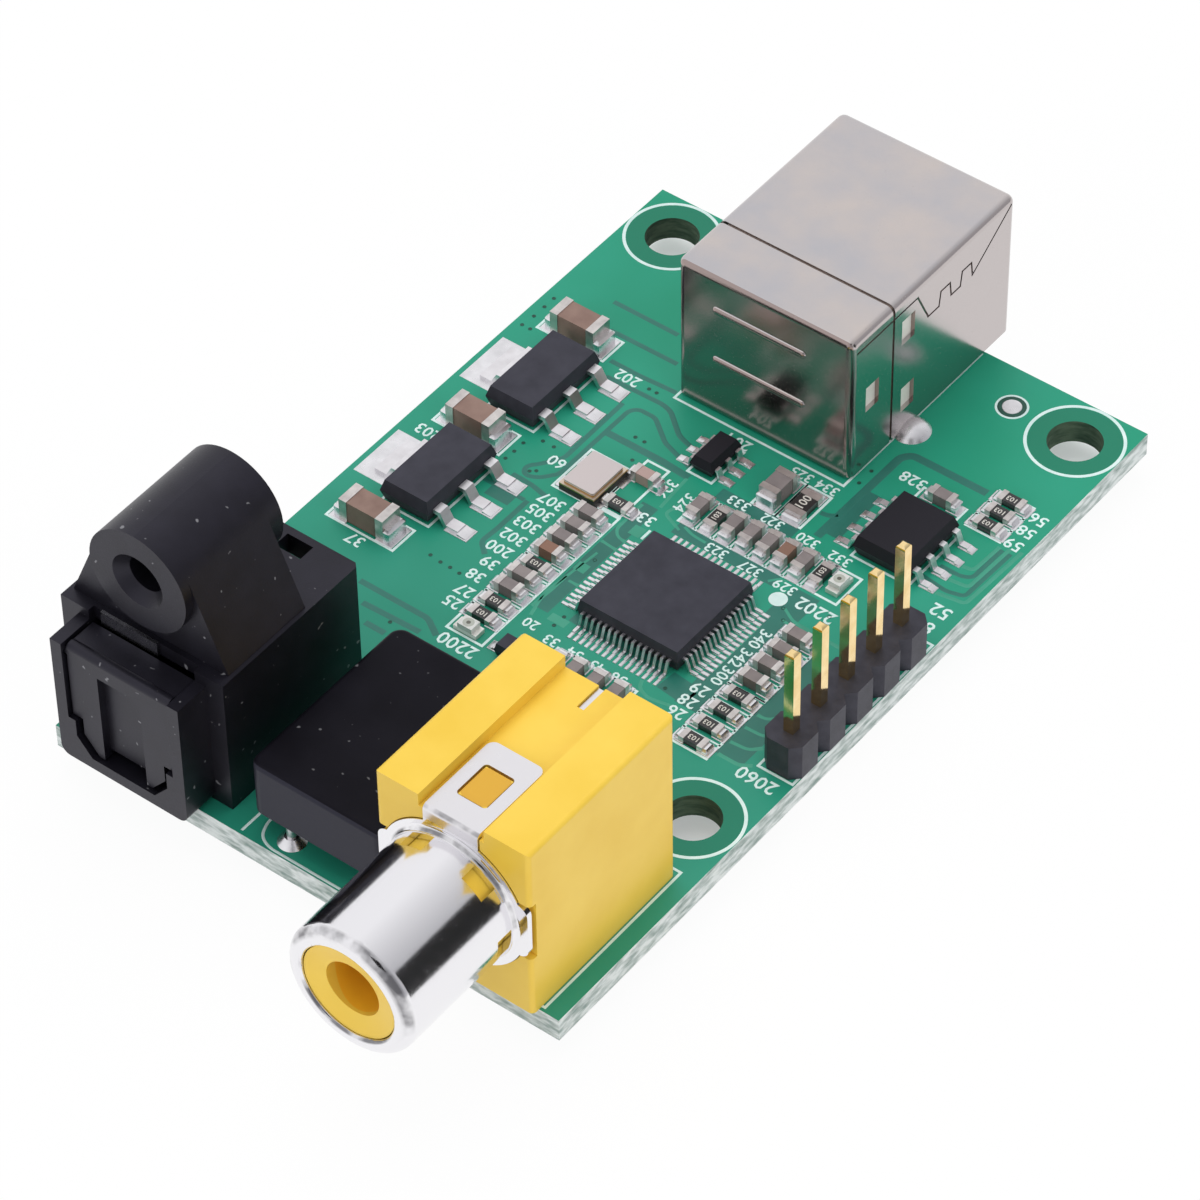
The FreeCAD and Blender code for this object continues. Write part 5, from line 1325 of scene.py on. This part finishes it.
let_go()
bpy.ops.mesh.primitive_plane_add(size=FLOOR_SIZE, location=(0, 0, cad_low.z - FLOOR_GAP * MM))
floor = bpy.context.object
floor.name = "floor"
material, shader, place = start_finish("pale_floor")
tree = material.node_tree
join_to(shader, Base_Color=mixed(noise(place, 60.0), linear(243, 243, 244), linear(247, 247, 247)))
shader.inputs["Roughness"].default_value = 0.9
path = place.node("ShaderNodeLightPath", out="Is Camera Ray")
seen = path.math("MAXIMUM", path, place.node("ShaderNodeLightPath", out="Is Glossy Ray"))
seen = path.math("MAXIMUM", seen, place.node("ShaderNodeLightPath", out="Is Transmission Ray"))
glow = place.node("ShaderNodeEmission", None, {"Color": (1, 1, 1, 1), "Strength": 1.0})
x, y = parts_of(place)[:2]
board_low, board_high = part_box("circuit_board")
under = (x > board_low.x) * (x < board_high.x - INSET * MM)
under = under * (y > board_low.y + INSET * MM) * (y < board_high.y)
lit = Wire(tree, shader.outputs[0])
mix = place.node("ShaderNodeMixShader", None, {0: seen * (FLOOR_GLOW - under * DIMMED), 1: lit, 2: glow})
below = place.node("ShaderNodeNewGeometry", out="Backfacing")
see_through = place.node("ShaderNodeBsdfTransparent")
one_sided = place.node("ShaderNodeMixShader", None, {0: below, 1: mix, 2: see_through})
tree.links.new(one_sided.socket, tree.nodes["Material Output"].inputs["Surface"])
floor.data.materials.append(material)
floor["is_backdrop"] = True
print("floor at", round(floor.location.z / MM, 3), "mm")

# %% [markdown]
# Soft studio light comes from a pale surround and a few large lamps: one overhead and one from each
# visible side. Large lamps make soft shadows. Their strength is set so that a white surface
# facing up comes out just white, and every colour then renders about as it is written. Mirror-like
# parts see a pale surround instead of the lamps, as inside a light tent that is open to the right.

# %% Lamps and surround
LAMP_AIM = Vector((0, 0, 0.004))

surround = bpy.data.worlds.new("surround")
bpy.context.scene.world = surround
surround.use_nodes = True
tree = surround.node_tree
way = source(surround, "ShaderNodeTexCoord", "Generated")
sky = mixed(clear(parts_of(way)[2], 0.0, 0.8), (0.34, 0.34, 0.35, 1), (0.62, 0.62, 0.63, 1))
mirrored = way.node("ShaderNodeLightPath", out="Is Glossy Ray")
tent = mixed(clear(parts_of(way)[0], -0.25, 0.75), (0.98, 0.98, 0.99, 1), (0.50, 0.50, 0.52, 1))
sky = mixed(mirrored * 0.92, sky, tent)
tree.links.new(sky.socket, tree.nodes["Background"].inputs["Color"])
tree.nodes["Background"].inputs["Strength"].default_value = 1.0


def lamp(name, place, size, power):
    """A square soft lamp that faces the module."""
    light = bpy.data.lights.new(name, "AREA")
    light.shape = "SQUARE"
    light.size = size
    light.energy = power
    thing = bpy.data.objects.new(name, light)
    thing.location = place
    thing.rotation_euler = (LAMP_AIM - thing.location).to_track_quat("-Z", "Y").to_euler()
    thing.visible_glossy = False
    bpy.context.collection.objects.link(thing)


lamp("overhead_lamp", Vector((-0.12, 0.10, 0.60)), 0.55, 1.9)
lamp("right_lamp", Vector((0.55, -0.10, 0.30)), 0.40, 0.9)
lamp("front_lamp", Vector((-0.10, -0.60, 0.28)), 0.40, 0.9)
print("lamps: 3")

# %% [markdown]
# A mirror-bright barrel only looks like metal when it has something dark to show beside the white.
# Photographers put black cards next to such parts. Here a small one stands close by, behind and to
# the right, so that only the barrel shows it. Another stands where the camera and its user would
# be, which rounded metal facing the camera shows. Both are stage, and the camera doesn't see them.

# %% Black cards
CARD_AIM = spot(28.6, -5)
BEHIND_CAMERA = 30 * MM


def card(name, place, wide, high):
    """A dark card that faces the barrel."""
    let_go()
    bpy.ops.mesh.primitive_plane_add(size=1)
    made = bpy.context.object
    made.name = name
    made.scale = (wide, high, 1)
    made.location = place
    made.rotation_euler = (CARD_AIM - place).to_track_quat("Z", "Y").to_euler()
    made.data.materials.append(finishes["card"])
    made.visible_camera = False
    made.visible_shadow = False
    made.visible_diffuse = False
    made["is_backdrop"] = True


finishes["card"] = grained_finish("dark_card", (10, 10, 11), (16, 16, 17), (0.8, 0.95), 2.0, 30.0, 0.1, 0.1)
card("dark_card_right", spot(88, 34, 20.5), 0.036, 0.052)
card("dark_card_camera", target + back * (DISTANCE + BEHIND_CAMERA), 0.13, 0.13)
print("cards: 2")

# %% [markdown]
# The dressed model must keep the size of the solids.

# %% Sizes and finish
low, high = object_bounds()
print("size:", [round((b - a) / MM, 3) for a, b in zip(low, high)])
